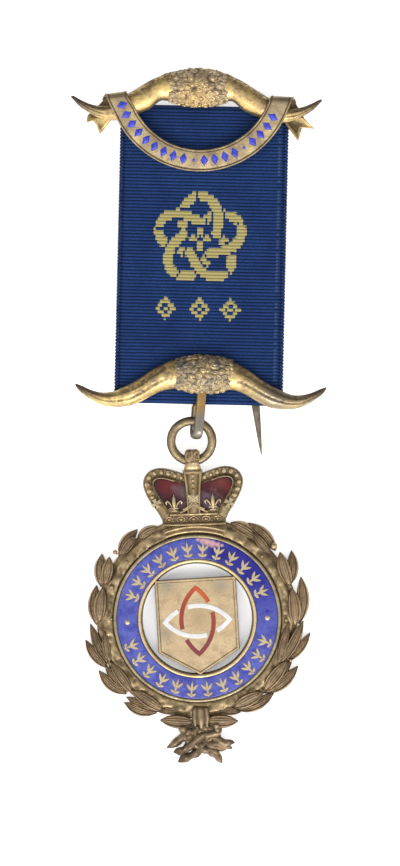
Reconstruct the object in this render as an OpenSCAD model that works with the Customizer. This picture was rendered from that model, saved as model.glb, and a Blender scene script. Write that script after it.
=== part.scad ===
// A gilt and enamel breast jewel: two horned bars, a ribbon, and a crowned and wreathed pendant.
// X runs across the jewel, Y towards the top bar and Z up from the table that it lies on.
// The origin is on the table, at the middle of the jewel's length and width.

/* [Ribbon] */
// Width of the ribbon
ribbon_w = 38.5; // [34:0.5:42]
// Thickness of the doubled cloth
ribbon_t = 1; // [1:0.1:1.3]
// Drop from the middle of the top bar to the ribbon's top edge
ribbon_top_drop = 4.1; // [4:0.1:4.8]
// Drop from the middle of the lower bar to the ribbon's bottom fold
ribbon_tail = 6.9; // [6:0.1:8]
// Lean of the ribbon against the bars, in degrees
ribbon_lean = 0.35; // [0:0.05:0.8]

/* [Bars] */
// Distance between the middles of the two bars
bar_gap = 65.5; // [55:0.5:80]
// Span of the top bar from tip to tip
top_span = 57.2; // [55:0.1:60]
// Span of the lower bar from tip to tip
lower_span = 57.3; // [55:0.1:60]
// How far the top bar sits to the left of the lower bar
top_shift = 1.94; // [0:0.02:2.4]
// Dip of the horns below the middle of the boss
horn_dip = 6.3; // [6:0.1:6.8]
// Height of a horn at its root
horn_h = 5.6; // [5:0.1:6]
// Relief of a horn at its root
horn_relief = 3; // [2.8:0.1:3.2]
// Length of the woolly boss
boss_l = 13.2; // [11:0.1:15]
// Height of the boss, its curls included
boss_h = 9.5; // [8.6:0.1:10.5]
// Relief of the boss, its curls included
boss_relief = 4.4; // [4:0.1:5]

/* [Scroll] */
// Middle radius of the scroll's bow
scroll_r = 18.9; // [18.5:0.1:19.3]
// Width of the strip
scroll_w = 4.8; // [4.2:0.1:5.2]
// Thickness of the strip
scroll_t = 0.6; // [0.4:0.05:0.7]
// Height of the raised edges of the strip
scroll_rim = 0.15; // [0.1:0.05:0.25]

/* [Ribbon rod and brooch pin] */
// Thickness of the rod in the ribbon's fold
rod_t = 0.8; // [0.6:0.1:1]
// Height of the rod
rod_h = 1.2; // [1:0.1:1.4]
// Radius of the two posts behind the top bar
post_r = 0.4; // [0.3:0.05:0.5]
// Radius of the brooch pin's wire
brooch_r = 0.3; // [0.25:0.01:0.33]

/* [Hook and ring] */
// Width of the hook's strip
hook_w = 2.1; // [1.6:0.1:2.6]
// Thickness of the hook's strip
hook_t = 1.2; // [0.9:0.1:1.4]
// Reach of the hook below the middle of the lower bar
hook_drop = 14.9; // [13:0.1:18]
// Distance of the hook's root from the middle of the boss, to the right
hook_x = 0.5; // [0:0.05:1]
// Lean of the hook towards the left, in degrees
hook_lean = 4; // [0:0.5:9]
// Turn of the hook about its length, in degrees
hook_turn = 14; // [0:1:20]
// Middle radius of the suspension ring
ring_r = 4.7; // [4.2:0.1:5.5]
// Radius of the ring's wire
ring_wire = 0.95; // [0.7:0.05:1]
// Slack between the hook and the ring as they lie
ring_slack = 2.2; // [0.3:0.1:2.6]
// How far the ring hangs to the left of the hook's end
ring_side = 0.95; // [0:0.05:1.2]

/* [Bar pin] */
// Length of the pin from its hinge to its point
pin_l = 15.9; // [15:0.1:16.4]
// Radius of the pin's shank
pin_r = 0.7; // [0.5:0.05:0.75]
// Radius of the rivet that it turns on
rivet_r = 0.5; // [0.4:0.05:0.6]
// Distance of the hinge from the middle of the lower bar, to the right
hinge_x = 12.05; // [11.5:0.05:12.5]
// Drop of the hinge below the middle of the lower bar
hinge_drop = 2.6; // [2.3:0.1:3]
// Angle of the open pin from the line of the bar, in degrees
pin_open = 97.5; // [80:0.5:110]

/* [Medallion] */
// Radius of the medallion
medal_r = 19.2; // [18:0.1:21]
// Width of the blue enamel ring
enamel_w = 4.9; // [4.4:0.1:5.2]
// Width of the rims on both sides of the enamel
rim_w = 0.75; // [0.5:0.05:0.9]
// Thickness of the medallion from its back to its rims
medal_t = 1.9; // [1.6:0.1:2.4]
// Depth of the cells that hold the enamel
cell_depth = 0.7; // [0.4:0.05:0.9]
// Width of the shield
shield_w = 18.4; // [17.6:0.1:18.6]
// Turn of the shield in its ring, in degrees
shield_turn = 1.5; // [0:0.1:3]

/* [Crown and wreath] */
// Width of the wreath outside the medallion, to the tips of its leaves
wreath_w = 6.6; // [5.8:0.1:7.4]
// Relief of the front leaves above the table
wreath_relief = 3.2; // [2.8:0.1:3.8]
// Width of the crown over its arches
crown_w = 23; // [21:0.1:25]
// Height of the crown from its collar to the top of the arches
crown_h = 13.2; // [12.4:0.1:14]
// Relief of the crown above the table
crown_relief = 3.4; // [3:0.1:3.8]
// Turn of the hanging pendant against the bars, in degrees
pendant_turn = 2.69; // [-4:0.01:4]

/* [Hidden] */
$fn = 48;

// Clearance between pieces that touch in use, and the small step of a seat
gap = 0.25;
fit = 0.05;

// Heights above the table, worked out from the back to the front
pin_z = pin_r + 0.6 * gap;
strand_z = pin_z + pin_r + gap;
ribbon_back = strand_z + hook_t + gap;
ribbon_front = ribbon_back + ribbon_t;
lower_back = ribbon_front + gap;
tail_z = ribbon_front + gap;
top_back = tail_z + scroll_t + gap;

// Hook and ring
hook_in_r = ring_wire + 0.8 * gap;
hook_bend_z = strand_z + hook_t + hook_in_r;
hole_z = 2.1;
ring_tilt = asin((hook_bend_z - hole_z) / (2 * ring_r));

// Radii of the medallion
enamel_r1 = medal_r - rim_w;
enamel_r0 = enamel_r1 - enamel_w;
hole_r = enamel_r0 - rim_w;
medal_z = 1;

// Radii of the wreath: to the tips of its leaves, and of the two steps of the plate that carries them
wreath_r = medal_r + wreath_w;
plate_r = [medal_r + 0.38 * wreath_w, medal_r + 0.58 * wreath_w];

// Places along the pendant's own axis, from the middle of the medallion
collar_y = medal_r + 0.4;
crown_y = medal_r + 2.3;
band_top = crown_y + 0.2 * crown_h + 0.1;
arch_top_y = crown_y + crown_h;
orb_h = 3.1;
orb_y = arch_top_y + 0.8;
hole_y = orb_y + 0.45;
stem_y = 1.71 * medal_r;
stem_x = 0.26 * medal_r;

// Places down the jewel, from the middle of the lower bar, and then from the origin
ring_drop = hook_drop - hook_t - ring_slack + ring_r - ring_wire;
medal_drop = hole_y + ring_r * cos(ring_tilt);
stem_drop = stem_y * cos(pendant_turn) + stem_x * sin(pendant_turn);
reach_down = ring_drop + medal_drop * cos(pendant_turn) + stem_drop;
reach_up = bar_gap + boss_h / 2;
lower_y = (reach_down - reach_up) / 2;
top_y = lower_y + bar_gap;
ring_y = lower_y - ring_drop;
lower_x = top_shift / 2;
top_x = -top_shift / 2;
strand_gap = 2 * hook_in_r + hook_t;
ring_x = lower_x + hook_x - hook_drop * sin(hook_lean) - strand_gap / 2 * tan(hook_turn) - ring_side;
ribbon_top = top_y - ribbon_top_drop;
ribbon_bottom = lower_y - ribbon_tail;

// Ribbon fold, rod and posts
loop_r = rod_t / 2 + gap / 2 + ribbon_t;
loop_z = ribbon_front - loop_r;
rod_y = ribbon_top - ribbon_t - 1.5 * gap - rod_h / 2;
post_x = 0.41 * ribbon_w;
brooch_z = 2 * brooch_r;
brooch_slot = 2 * brooch_r + gap / 2;

// Rivet, catch and scroll
hinge = [lower_x + hinge_x, lower_y - hinge_drop];
eye_r = 2.5 * rivet_r;
eye_z = pin_z - pin_r + 0.2;
eye_t = 1;
catch_reach = pin_l - 2.3;
catch_slot = pin_r + 0.8 * gap;
catch_rise = 0.4 * catch_slot;
scroll_x = top_x + scroll_r / 24;
scroll_y = top_y + scroll_r / 9;
scroll_lean = 15.6;
scroll_back = ribbon_front + 0.8 * gap + scroll_t / 2;
scroll_low = scroll_y - scroll_r - scroll_w / 2;
wrap = 1.3;

// Horn sections, from the boss to the tip.
// Columns: place as a share of the half span, dip as a share of horn_dip, size as a share of the root
TOP_HORN = [
    [0.22, 0.02, 1.14], [0.29, 0.09, 1.02], [0.37, 0.32, 1.16], [0.46, 0.54, 1.08],
    [0.53, 0.70, 1.01], [0.61, 0.86, 0.88], [0.69, 0.98, 0.65], [0.77, 0.97, 0.52],
    [0.85, 0.85, 0.39], [0.93, 0.65, 0.30], [0.975, 0.49, 0.19], [1.00, 0.42, 0.07]];
LOWER_HORN = [
    [0.20, 0.00, 1.20], [0.31, 0.14, 1.10], [0.39, 0.33, 1.08], [0.47, 0.56, 1.01],
    [0.55, 0.75, 0.93], [0.63, 0.87, 0.79], [0.71, 0.95, 0.61], [0.79, 0.93, 0.51],
    [0.87, 0.80, 0.40], [0.95, 0.60, 0.30], [0.985, 0.49, 0.18], [1.00, 0.42, 0.07]];

// Large curls on a boss. Columns: place as a share of its half length, angle from the top edge, size
LOCKS = [
    [0.62, 96, 1.1], [0.25, 68, 0.8], [0.58, 60, 0.7], [-0.68, 64, 0.8], [-0.52, 112, 0.9],
    [-0.22, 118, 0.9], [0.1, 132, 0.9], [0.42, 124, 0.8], [0.82, 112, 0.7], [-0.85, 92, 0.7]];

// Ends of the scroll, all as shares of scroll_r from the middle of the bow.
// Columns: side, outer and inner edge of the fold, rise of its inner edge,
// then the outer root, outer tip, notch, inner tip and inner root of the forked tail
SCROLL_ENDS = [
    [-1, 1.11, 0.86, 0.036, [1.354, -0.476], [1.37, -0.566], [1.254, -0.529],
        [1.206, -0.709], [1.063, -0.519]],
    [1, 1.09, 0.825, 0.01, [1.265, -0.478], [1.385, -0.6], [1.206, -0.58],
        [1.19, -0.751], [1.021, -0.524]]];
// How far each end drifts outwards as it folds over its horn, as a share of scroll_r
fold_drift = 0.075;
// Clearance between the fold and the horn under it
fold_gap = 0.4 * gap;

// Laurel leaves of the left and of the right side.
// Columns: angle from the tie and radius of the base, the same of the tip, width, outward bow,
// and 1 for a leaf of the front row; lengths are shares of wreath_r
LEAVES = [
    [[144, 0.87, 160, 0.87, 0.11, 0.018, 0], [130, 0.88, 148, 0.95, 0.11, 0.022, 0],
        [132, 0.88, 145, 0.91, 0.08, 0, 1], [110, 0.89, 126, 1.02, 0.12, 0.013, 0],
        [112, 0.87, 127, 0.95, 0.11, 0, 1], [88, 0.89, 110, 0.94, 0.12, 0.022, 0],
        [90, 0.87, 110, 0.88, 0.12, 0.009, 1], [65, 0.87, 84, 0.83, 0.07, 0.009, 1],
        [65, 0.89, 89, 0.95, 0.09, 0.013, 0], [63, 0.91, 81, 1.01, 0.09, 0.022, 0],
        [45, 0.92, 64, 0.99, 0.10, 0.027, 0], [45, 0.89, 65, 0.92, 0.09, 0.009, 0],
        [44, 0.87, 65, 0.86, 0.10, 0, 1], [25, 0.91, 43, 0.99, 0.10, 0.027, 0],
        [24, 0.89, 44, 0.94, 0.09, 0.009, 0], [23, 0.87, 44, 0.86, 0.11, 0, 1],
        [4, 0.92, 22, 0.96, 0.12, 0.004, 1], [10, 0.82, 25, 0.90, 0.07, 0, 0]],
    [[142, 0.89, 159, 0.90, 0.12, 0.009, 0], [129, 0.92, 150, 0.96, 0.11, 0.022, 0],
        [130, 0.86, 145, 0.90, 0.08, 0, 1], [108, 0.87, 124, 1.03, 0.11, 0.018, 0],
        [108, 0.87, 127, 0.94, 0.12, -0.009, 1], [85, 0.90, 110, 0.99, 0.12, 0.027, 0],
        [84, 0.87, 106, 0.88, 0.12, 0.009, 1], [58, 0.83, 86, 0.81, 0.08, 0, 1],
        [60, 0.84, 87, 0.94, 0.10, 0.013, 1], [61, 0.86, 81, 1.01, 0.09, 0.022, 0],
        [40, 0.89, 63, 0.99, 0.11, 0.031, 0], [41, 0.87, 63, 0.88, 0.12, 0, 1],
        [40, 0.88, 65, 0.92, 0.09, 0.009, 0], [21, 0.88, 44, 0.95, 0.11, 0.031, 0],
        [21, 0.85, 40, 0.88, 0.12, 0, 1], [3, 0.91, 20, 0.98, 0.12, 0.004, 1],
        [9, 0.82, 23, 0.92, 0.08, 0, 0]]];
// Berries of both sides: places and radius in shares of wreath_r
BERRIES = [[-0.71, 0.61, 0.021], [-0.75, 0.30, 0.023], [-0.61, 0.52, 0.014], [0.70, 0.62, 0.031],
    [0.59, 0.53, 0.017], [0.79, -0.04, 0.016]];
// Leaf sections. Columns: place along the leaf, width and height as shares
LEAF_SECTIONS = [[0, 0.25, 0.5], [0.2, 0.75, 0.85], [0.48, 1, 1], [0.78, 0.72, 0.9], [1, 0.08, 0.45]];

// Crossed stems, in shares of medal_r. Columns: root x and y, end x and y, root and end radius
STEMS = [
    [0.16, -1.33, -0.40, -1.515, 0.089, 0.042], [0.22, -1.38, -0.31, -1.585, 0.094, 0.052],
    [0.18, -1.44, -0.24, -1.67, 0.078, 0.047], [-0.16, -1.33, 0.375, -1.51, 0.089, 0.047],
    [-0.22, -1.38, 0.335, -1.585, 0.094, 0.047], [-0.18, -1.44, 0.225, -1.67, 0.078, 0.042]];

// Middle line of a crown arch: shares of half the crown's width and of its height
ARCH = [[0.62, 0.24], [0.82, 0.51], [0.90, 0.73], [0.80, 0.875], [0.56, 0.90], [0.14, 0.78]];
arch_w = 0.1 * crown_w;
pearl_r = crown_w / 46;
arch_points = [for (p = ARCH) [p[0] * crown_w / 2, crown_y + p[1] * crown_h]];

// Points of a smooth curve through the given points, with n steps between two of them
function curve(p, n) = concat([for (i = [0:len(p) - 2], k = [0:n - 1])
    let (t = k / n, a = p[max(i - 1, 0)], b = p[i], c = p[i + 1], d = p[min(i + 2, len(p) - 1)])
    0.5 * (2 * b + (c - a) * t + (2 * a - 5 * b + 4 * c - d) * t * t
        + (3 * b - a - 3 * c + d) * t * t * t)], [p[len(p) - 1]]);

function unit(v) = v / norm(v);
function polar(r, a) = [r * cos(a), r * sin(a)];
// A point of the wreath, with the angle counted from the tie on one side
function wreath_point(side, a, r) = [side * r * sin(a), -r * cos(a)];
// The square root of a number that keeps its sign, which squares off a round fold
function squared(v) = sign(v) * sqrt(abs(v));

// Skins a closed solid over rings that all have the same number of points
module skin(rings) {
    n = len(rings[0]);
    m = len(rings);
    sides = [for (i = [0:m - 2], j = [0:n - 1], k = [0:1])
        let (a = i * n + j, b = i * n + (j + 1) % n)
        k == 0 ? [a, a + n, b + n] : [a, b + n, b]];
    caps = [[for (j = [0:n - 1]) j], [for (j = [n - 1:-1:0]) (m - 1) * n + j]];
    polyhedron([for (r = rings) each r], concat(sides, caps), convexity = 6);
}

// The pendant's own frame: the middle of the medallion, with Y up its axis
module pendant() {
    translate([ring_x, ring_y, 0]) rotate(pendant_turn) translate([0, -medal_drop, 0]) children();
}

// A section of a horn or boss in the plane of one x: an oval cut flat at the back.
// Each flute is an angle, where a groove as deep as a share of the oval runs along the horn.
function horn_ring(x, y, half, relief, back, flutes = []) =
    let (cut = 20, k = sin(cut), n = 14)
    [for (i = [0:n])
        let (a = -cut + (180 + 2 * cut) * i / n,
            s = 1 - 0.1 * max([0, for (f = flutes) 1 - pow((a - f) / 16, 2)]))
        [x, y + half * s * cos(a), back + relief * (s * sin(a) + k) / (1 + k)]];

// Both horns of a bar, from tip to tip
module horns(x, y, span, table, back, flutes = []) {
    rows = [for (i = [-len(table):len(table)]) if (i != 0) let (r = table[abs(i) - 1])
        [sign(i) * r[0] * span / 2, r[1] * horn_dip, r[2]]];
    skin([for (r = rows) horn_ring(x + r[0], y - r[1], r[2] * horn_h / 2, min(1, r[2]) * horn_relief,
        back, flutes)]);
}

// A number between 0 and 1 that looks random but stays the same
function chance(i, j) = let (v = 43.7 * sin(127.1 * i + 311.7 * j)) v - floor(v);
// Height of the wool at a place p, counted in tufts: a round tuft near each point of a loose grid
function tuft(p) = let (d = min([for (i = [-1:1], j = [-1:1])
        let (a = floor(p[0]) + i, b = floor(p[1]) + j)
        norm(p - [a + 0.2 + 0.6 * chance(a, b), b + 0.2 + 0.6 * chance(b, a + 9)])]))
    1 - pow(min(1, 1.25 * d), 2);

// The woolly boss between the horns: a barrel covered in tufts, with a few large curls
module boss(x, y, back) {
    wool = 0.09 * boss_h;
    pitch = boss_l / 8.25;
    cut = 20;
    steps = 16;
    columns = 12;
    half = boss_h / 2 - 0.6 * wool;
    relief = boss_relief - 0.6 * wool;
    skin([for (i = [-columns:columns]) let (u = i / columns, s = 1 - 0.3 * u * u) [for (j = [0:steps])
        let (a = -cut + (180 + 2 * cut) * j / steps,
            lift = (j % steps == 0 ? 0 : wool)
                * tuft([u * boss_l / 2 / pitch + 50, a * half / 57.3 / pitch + 50]))
        [x + u * boss_l / 2, y + (half * s + lift - wool / 2) * cos(a),
            back + (relief * s + lift - wool / 2) * (sin(a) + sin(cut)) / (1 + sin(cut))]]]);
    for (k = LOCKS) let (s = 1 - 0.3 * k[0] * k[0], size = k[2] * wool)
        translate([x + k[0] * boss_l / 2, y + half * s * cos(k[1]),
            back + relief * s * (sin(k[1]) + sin(cut)) / (1 + sin(cut))])
            rotate([k[1] - 90, 0, 130 * k[0]]) hull() {
                translate([-0.5 * size, 0, 0]) sphere(0.85 * size, $fn = 6);
                translate([0.6 * size, 0.1 * size, 0]) sphere(0.65 * size, $fn = 6);
            }
}

module top_bar() {
    color("goldenrod") {
        horns(top_x, top_y, top_span, TOP_HORN, top_back);
        boss(top_x, top_y, top_back - fit / 2);
        for (post = [[-1, 0], [1, brooch_z + brooch_slot / 2]])
            translate([top_x + post[0] * post_x, rod_y, post[1]])
                cylinder(h = top_back + horn_relief / 3 - post[1], r = post_r);
        translate([top_x - post_x - 2 * post_r, rod_y - rod_h / 2, loop_z - rod_t / 2])
            cube([2 * post_x + 4 * post_r, rod_h, rod_t]);
        translate([top_x + post_x, rod_y, 0]) brooch_catch();
    }
}

// The open catch behind the top bar that holds the point of the brooch pin
module brooch_catch() {
    h = brooch_z + brooch_slot / 2 + 0.18;
    difference() {
        translate([-0.6, -brooch_slot, 0]) cube([1.2, 2.2 * brooch_slot, h]);
        translate([-1, -1.5 * brooch_slot, brooch_z - brooch_slot / 2])
            cube([2, 2 * brooch_slot, brooch_slot]);
    }
}

module brooch_pin() {
    eye = post_r + 0.6;
    reach = 2 * post_x + 1.6;
    color("silver") translate([top_x - post_x, rod_y, 0]) {
        difference() {
            translate([0, 0, brooch_z - 0.35]) cylinder(h = 0.7, r = eye);
            translate([0, 0, -1]) cylinder(h = 4, r = post_r + 2 * fit);
        }
        translate([eye - 0.2, 0, brooch_z]) rotate([0, 90, 0]) cylinder(h = reach - eye - 2, r = brooch_r);
        translate([reach - 2.2, 0, brooch_z]) rotate([0, 90, 0])
            cylinder(h = 2.2, r1 = brooch_r, r2 = brooch_r / 6);
    }
}

// A section of the scroll's strip between its outer and inner edge, with raised edges in front
function strip_ring(outer, inner, normal) =
    let (w = unit(inner - outer) * 2.5 * scroll_rim, back = -normal * scroll_t / 2,
        field = normal * scroll_t / 2, rim = normal * (scroll_t / 2 + scroll_rim))
    [outer + back, inner + back, inner + rim, inner - w + rim, inner - w + field,
        outer + w + field, outer + w + rim, outer + rim];

// A point of the leaning plane in which the front of the scroll lies
function scroll_front(p) = [scroll_x + p[0], scroll_y + p[1],
    scroll_back + (scroll_y + p[1] - scroll_low) * tan(scroll_lean)];

// Rings of the scroll's fold over a horn and of the tail behind it, from the front to the back
function scroll_fold(end) =
    let (side = end[0], rise = end[3] * scroll_r / 2,
        seat = horn_top(scroll_x + side * (end[2] + fold_drift / 2) * scroll_r) + fold_gap,
        y0 = seat + scroll_t / 2 - rise - wrap,
        front = scroll_front([0, y0 - scroll_y])[2],
        mid_z = (front + tail_z + scroll_t / 2) / 2,
        deep = (front - tail_z - scroll_t / 2) / 2)
    concat(
        [for (t = [0:22.5:180])
            let (y = y0 + wrap * squared(sin(t)), z = mid_z + deep * squared(cos(t)), s = t / 180)
            strip_ring([scroll_x + side * (end[1] + fold_drift * s) * scroll_r, y - rise, z],
                [scroll_x + side * (end[2] + fold_drift * s) * scroll_r, y + rise, z],
                unit([0, sin(t), cos(t)]))],
        [strip_ring(tail_point(end, 4), tail_point(end, 8), [0, 0, -1])]);

// Top edge of the top bar's horn at a place across the jewel
function horn_top(x) = let (place = abs(x - top_x) * 2 / top_span)
    top_y - horn_dip * lookup(place, [for (r = TOP_HORN) [r[0], r[1]]])
    + horn_h / 2 * lookup(place, [for (r = TOP_HORN) [r[0], r[2]]]);

// A corner of a forked tail, in the middle of its thickness
function tail_point(end, i) = [scroll_x + end[0] * end[i][0] * scroll_r, scroll_y + end[i][1] * scroll_r,
    tail_z + scroll_t / 2];

function turned(list) = [for (i = [len(list) - 1:-1:0]) list[i]];

module scroll() {
    lean_normal = [0, -sin(scroll_lean), cos(scroll_lean)];
    bow = [for (a = [205:10:335])
        strip_ring(scroll_front(polar(scroll_r + scroll_w / 2, a)),
            scroll_front(polar(scroll_r - scroll_w / 2, a)), lean_normal)];
    color("darkgoldenrod") {
        skin(concat(turned(scroll_fold(SCROLL_ENDS[0])), bow, scroll_fold(SCROLL_ENDS[1])));
        for (end = SCROLL_ENDS)
            translate([scroll_x, scroll_y, tail_z - fit]) linear_extrude(scroll_t + 2 * fit)
                for (part = [[4, 8], [4, 8, 6], [4, 5, 6], [6, 7, 8]]) hull()
                    for (i = part) translate([end[0] * end[i][0], end[i][1]] * scroll_r) circle(0.2, $fn = 8);
    }
}

// Lozenges round the bow, with a small one in the middle and towards the right end
module scroll_enamel() {
    count = 19;
    first = 201;
    step = 7.25;
    color("mediumblue") for (i = [0:count - 1]) {
        a = first + i * step;
        size = i == 9 || i == 14 ? 0.4 : 1;
        translate(scroll_front(polar(scroll_r, a))) rotate([scroll_lean, 0, 0]) rotate(a)
            translate([0, 0, scroll_t / 2]) linear_extrude(scroll_rim)
                polygon([[1.3, 0], [0, 0.85], [-1.3, 0], [0, -0.85]] * size);
    }
}

// The ribbon's profile, along Y and Z from its top edge: one wall with a pocket for the rod
module ribbon_profile() {
    length = ribbon_top - ribbon_bottom;
    pocket = rod_h + 3 * gap;
    translate([ribbon_t / 2 - length, -ribbon_t]) square([length - ribbon_t / 2 - loop_r, ribbon_t]);
    translate([ribbon_t / 2 - length, -ribbon_t / 2]) circle(ribbon_t / 2);
    difference() {
        translate([0, -loop_r]) oblong(-loop_r - pocket + rod_t + gap, -loop_r, loop_r);
        translate([0, -loop_r]) oblong(-loop_r - pocket + rod_t + gap, -loop_r, loop_r - ribbon_t);
    }
}

// An oblong with round ends, whose end circles lie at a and b
module oblong(a, b, r) {
    translate([a, 0]) circle(r);
    translate([b, 0]) circle(r);
    translate([a, -r]) square([b - a, 2 * r]);
}

module ribbon() {
    hole = gap / 2;
    color("midnightblue") difference() {
        translate([lower_x, ribbon_top, ribbon_front]) rotate(-ribbon_lean)
            translate([-ribbon_w / 2, 0, 0]) rotate([90, 0, 90]) linear_extrude(ribbon_w) ribbon_profile();
        for (side = [-1, 1])
            translate([top_x + side * post_x, rod_y, 0]) cylinder(h = top_back, r = post_r + hole);
        translate([hinge[0], hinge[1], 0]) cylinder(h = top_back, r = rivet_r + hole);
        translate([hinge[0] - catch_reach, hinge[1] + catch_rise, 0])
            cylinder(h = top_back, r = rivet_r + hole);
    }
}

// The hook below the boss: a strip down the front, round through the ring and up the back
module hook() {
    mid = hook_in_r + hook_t / 2;
    bend_y = -hook_drop + hook_t + hook_in_r;
    tip_y = -0.4 * hook_drop;
    stations = concat([[-hook_drop / 5, hook_bend_z + mid, 0]],
        [for (t = [0:22.5:180]) [bend_y - mid * sin(t), hook_bend_z + mid * cos(t), t]],
        [[tip_y, hook_bend_z - mid, 180]]);
    translate([lower_x + hook_x, lower_y, 0]) rotate(-hook_lean) skin([for (s = stations)
        [for (k = [0:7]) let (a = 22.5 + 45 * k, u = 1.08 * hook_w / 2 * cos(a), v = 1.08 * hook_t / 2 * sin(a),
            z = s[1] + v * cos(s[2]))
            [u + (z - hook_bend_z - mid) * tan(hook_turn), s[0] - v * sin(s[2]), z]]]);
}

// The catch behind the boss, open downwards, that holds the closed bar pin
module pin_catch() {
    wall = 0.45;
    difference() {
        translate([-0.7, -catch_slot, 0]) cube([1.4, 2.2 * catch_slot, pin_z + catch_slot / 2 + wall]);
        translate([-1, -1.5 * catch_slot, pin_z - catch_slot / 2]) cube([2, 2 * catch_slot, catch_slot]);
    }
    translate([0, catch_rise, pin_z + catch_slot / 2]) cylinder(h = lower_back - pin_z, r = rivet_r);
}

module lower_bar() {
    color("goldenrod") difference() {
        union() {
            horns(lower_x, lower_y, lower_span, LOWER_HORN, lower_back, [62, 106]);
            boss(lower_x, lower_y, lower_back - fit / 2);
            hook();
            translate([hinge[0] - catch_reach, hinge[1], 0]) pin_catch();
        }
        translate([hinge[0], hinge[1], lower_back - 1]) cylinder(h = 1 + horn_relief / 3, r = rivet_r + 1.5 * fit);
    }
}

// A rivet with its head on the table side and a collar that keeps the pin clear of the ribbon
module pin_rivet() {
    head = eye_z - 2 * fit;
    collar = eye_z + eye_t + 2 * fit;
    color("darkgoldenrod") translate([hinge[0], hinge[1], 0]) rotate_extrude()
        polygon([[0, 0], [0.85 * eye_r, 0], [0.85 * eye_r, head], [rivet_r, head], [rivet_r, collar],
            [0.75 * eye_r, collar], [0.75 * eye_r, ribbon_back - gap / 2], [rivet_r, ribbon_back - gap / 2],
            [rivet_r, lower_back + horn_relief / 3 - gap], [0, lower_back + horn_relief / 3 - gap]]);
}

module bar_pin() {
    taper = 0.4 * pin_l;
    color("silver") translate([hinge[0], hinge[1], 0]) rotate(180 + pin_open) {
        difference() {
            translate([0, 0, eye_z]) cylinder(h = eye_t, r = eye_r);
            translate([0, 0, eye_z - 1]) cylinder(h = eye_t + 2, r = rivet_r + fit);
        }
        translate([0.86 * eye_r, 0, pin_z]) rotate([0, 90, 0]) cylinder(h = pin_l - taper - 0.86 * eye_r, r = pin_r);
        translate([pin_l - taper, 0, pin_z]) rotate([0, 90, 0]) cylinder(h = taper, r1 = pin_r, r2 = pin_r / 12);
    }
}

module suspension_ring() {
    color("goldenrod") translate([ring_x, ring_y, (hook_bend_z + hole_z) / 2]) rotate([ring_tilt, 0, 0])
        rotate_extrude() translate([ring_r, 0]) circle(ring_wire);
}

// A laurel leaf with a raised midrib, bowed outwards and lifted between its base and its tip
module leaf(from, to, w, z, rise, bow, lift) {
    l = norm(to - from);
    along = unit(to - from);
    out = [-along[1], along[0]];
    skin([for (s = LEAF_SECTIONS)
        let (c = from + along * s[0] * l + out * bow * sin(180 * s[0]), e = s[1] * w / 2,
            h = s[2] * rise, z0 = z + s[0] * lift)
        [[c[0] - out[0] * e, c[1] - out[1] * e, z0], [c[0] + out[0] * e, c[1] + out[1] * e, z0],
            [c[0] + out[0] * e, c[1] + out[1] * e, z0 + 0.55 * h], [c[0], c[1], z0 + h],
            [c[0] - out[0] * e, c[1] - out[1] * e, z0 + 0.55 * h]]]);
}

// Both sides of the laurel wreath, leaf by leaf
module laurel() {
    front_z = 0.38 * wreath_relief;
    for (side = [0, 1], i = [0:len(LEAVES[side]) - 1]) let (row = LEAVES[side][i], way = 2 * side - 1)
        leaf(wreath_point(way, row[0], row[1] * wreath_r), wreath_point(way, row[2], row[3] * wreath_r),
            row[4] * wreath_r, row[6] * front_z + 0.15 + 0.012 * i,
            (0.55 - 0.12 * row[6]) * wreath_relief, -way * row[5] * wreath_r, 0.35);
}

// The tie at the foot of the wreath and the crossed stems below it
module stems() {
    for (s = STEMS) hull() {
        translate([s[0], s[1], s[4]] * medal_r) sphere(s[4] * medal_r, $fn = 6);
        translate([s[2], s[3], s[5]] * medal_r) sphere(s[5] * medal_r, $fn = 6);
    }
    hull() {
        translate([0, -1.08, 0.104] * medal_r) sphere(0.07 * medal_r, $fn = 8);
        translate([0, -1.26, 0.104] * medal_r) sphere(0.08 * medal_r, $fn = 8);
    }
}

// The middle lines of both arches, moved in by a margin and joined at the foot of the crown
function crown_outline(margin = 0) =
    let (right = [for (p = curve(arch_points, 3)) [p[0] - margin, p[1] - margin / 2]])
    concat([[0, crown_y]], right, turned([for (p = right) [-p[0], p[1]]]));

// A fleur-de-lis on a cross bar, h high, grown on all sides by a gap
module fleur(h, grow = 0) {
    hull() {
        translate([0, 0.45 * h]) circle(0.14 * h + grow, $fn = 8);
        translate([0, 0.95 * h]) circle(0.04 * h + grow, $fn = 8);
        circle(0.07 * h + grow, $fn = 8);
    }
    for (side = [-1, 1]) hull() {
        translate([side * 0.3 * h, 0.5 * h]) circle(0.1 * h + grow, $fn = 8);
        translate([side * 0.08 * h, 0.1 * h]) circle(0.06 * h + grow, $fn = 8);
    }
    translate([-0.2 * h - grow, 0.12 * h - grow]) square([0.4 * h + 2 * grow, 0.1 * h + 2 * grow]);
}

// A cross patty, h across, grown on all sides by a gap
module patty(h, grow = 0) {
    for (a = [0:90:270]) rotate(a)
        polygon([[-0.08 * h - grow, 0], [-0.22 * h - grow, h / 2 + grow], [0.22 * h + grow, h / 2 + grow],
            [0.08 * h + grow, 0]]);
}

// Ornaments that stand on the crown's band, in front of the enamel
module crown_ornaments(grow = 0) {
    h = 0.3 * crown_h;
    for (side = [-1, 1]) {
        translate([side * 0.36 * crown_w / 2, crown_y + 0.2 * crown_h]) fleur(h, grow);
        translate([side * 0.68 * crown_w / 2, crown_y + 0.33 * crown_h]) patty(0.55 * h, grow);
    }
    translate([0, crown_y + 0.38 * crown_h]) patty(0.95 * h, grow);
}

// The middle arch of the crown and its foot, which part the two red fields
module crown_middle(grow = 0) {
    polygon([[-2.1 - grow, arch_top_y - 0.5], [2.1 + grow, arch_top_y - 0.5],
        [1.5 + grow, crown_y + 0.2 * crown_h], [-1.5 - grow, crown_y + 0.2 * crown_h]]);
}

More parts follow.
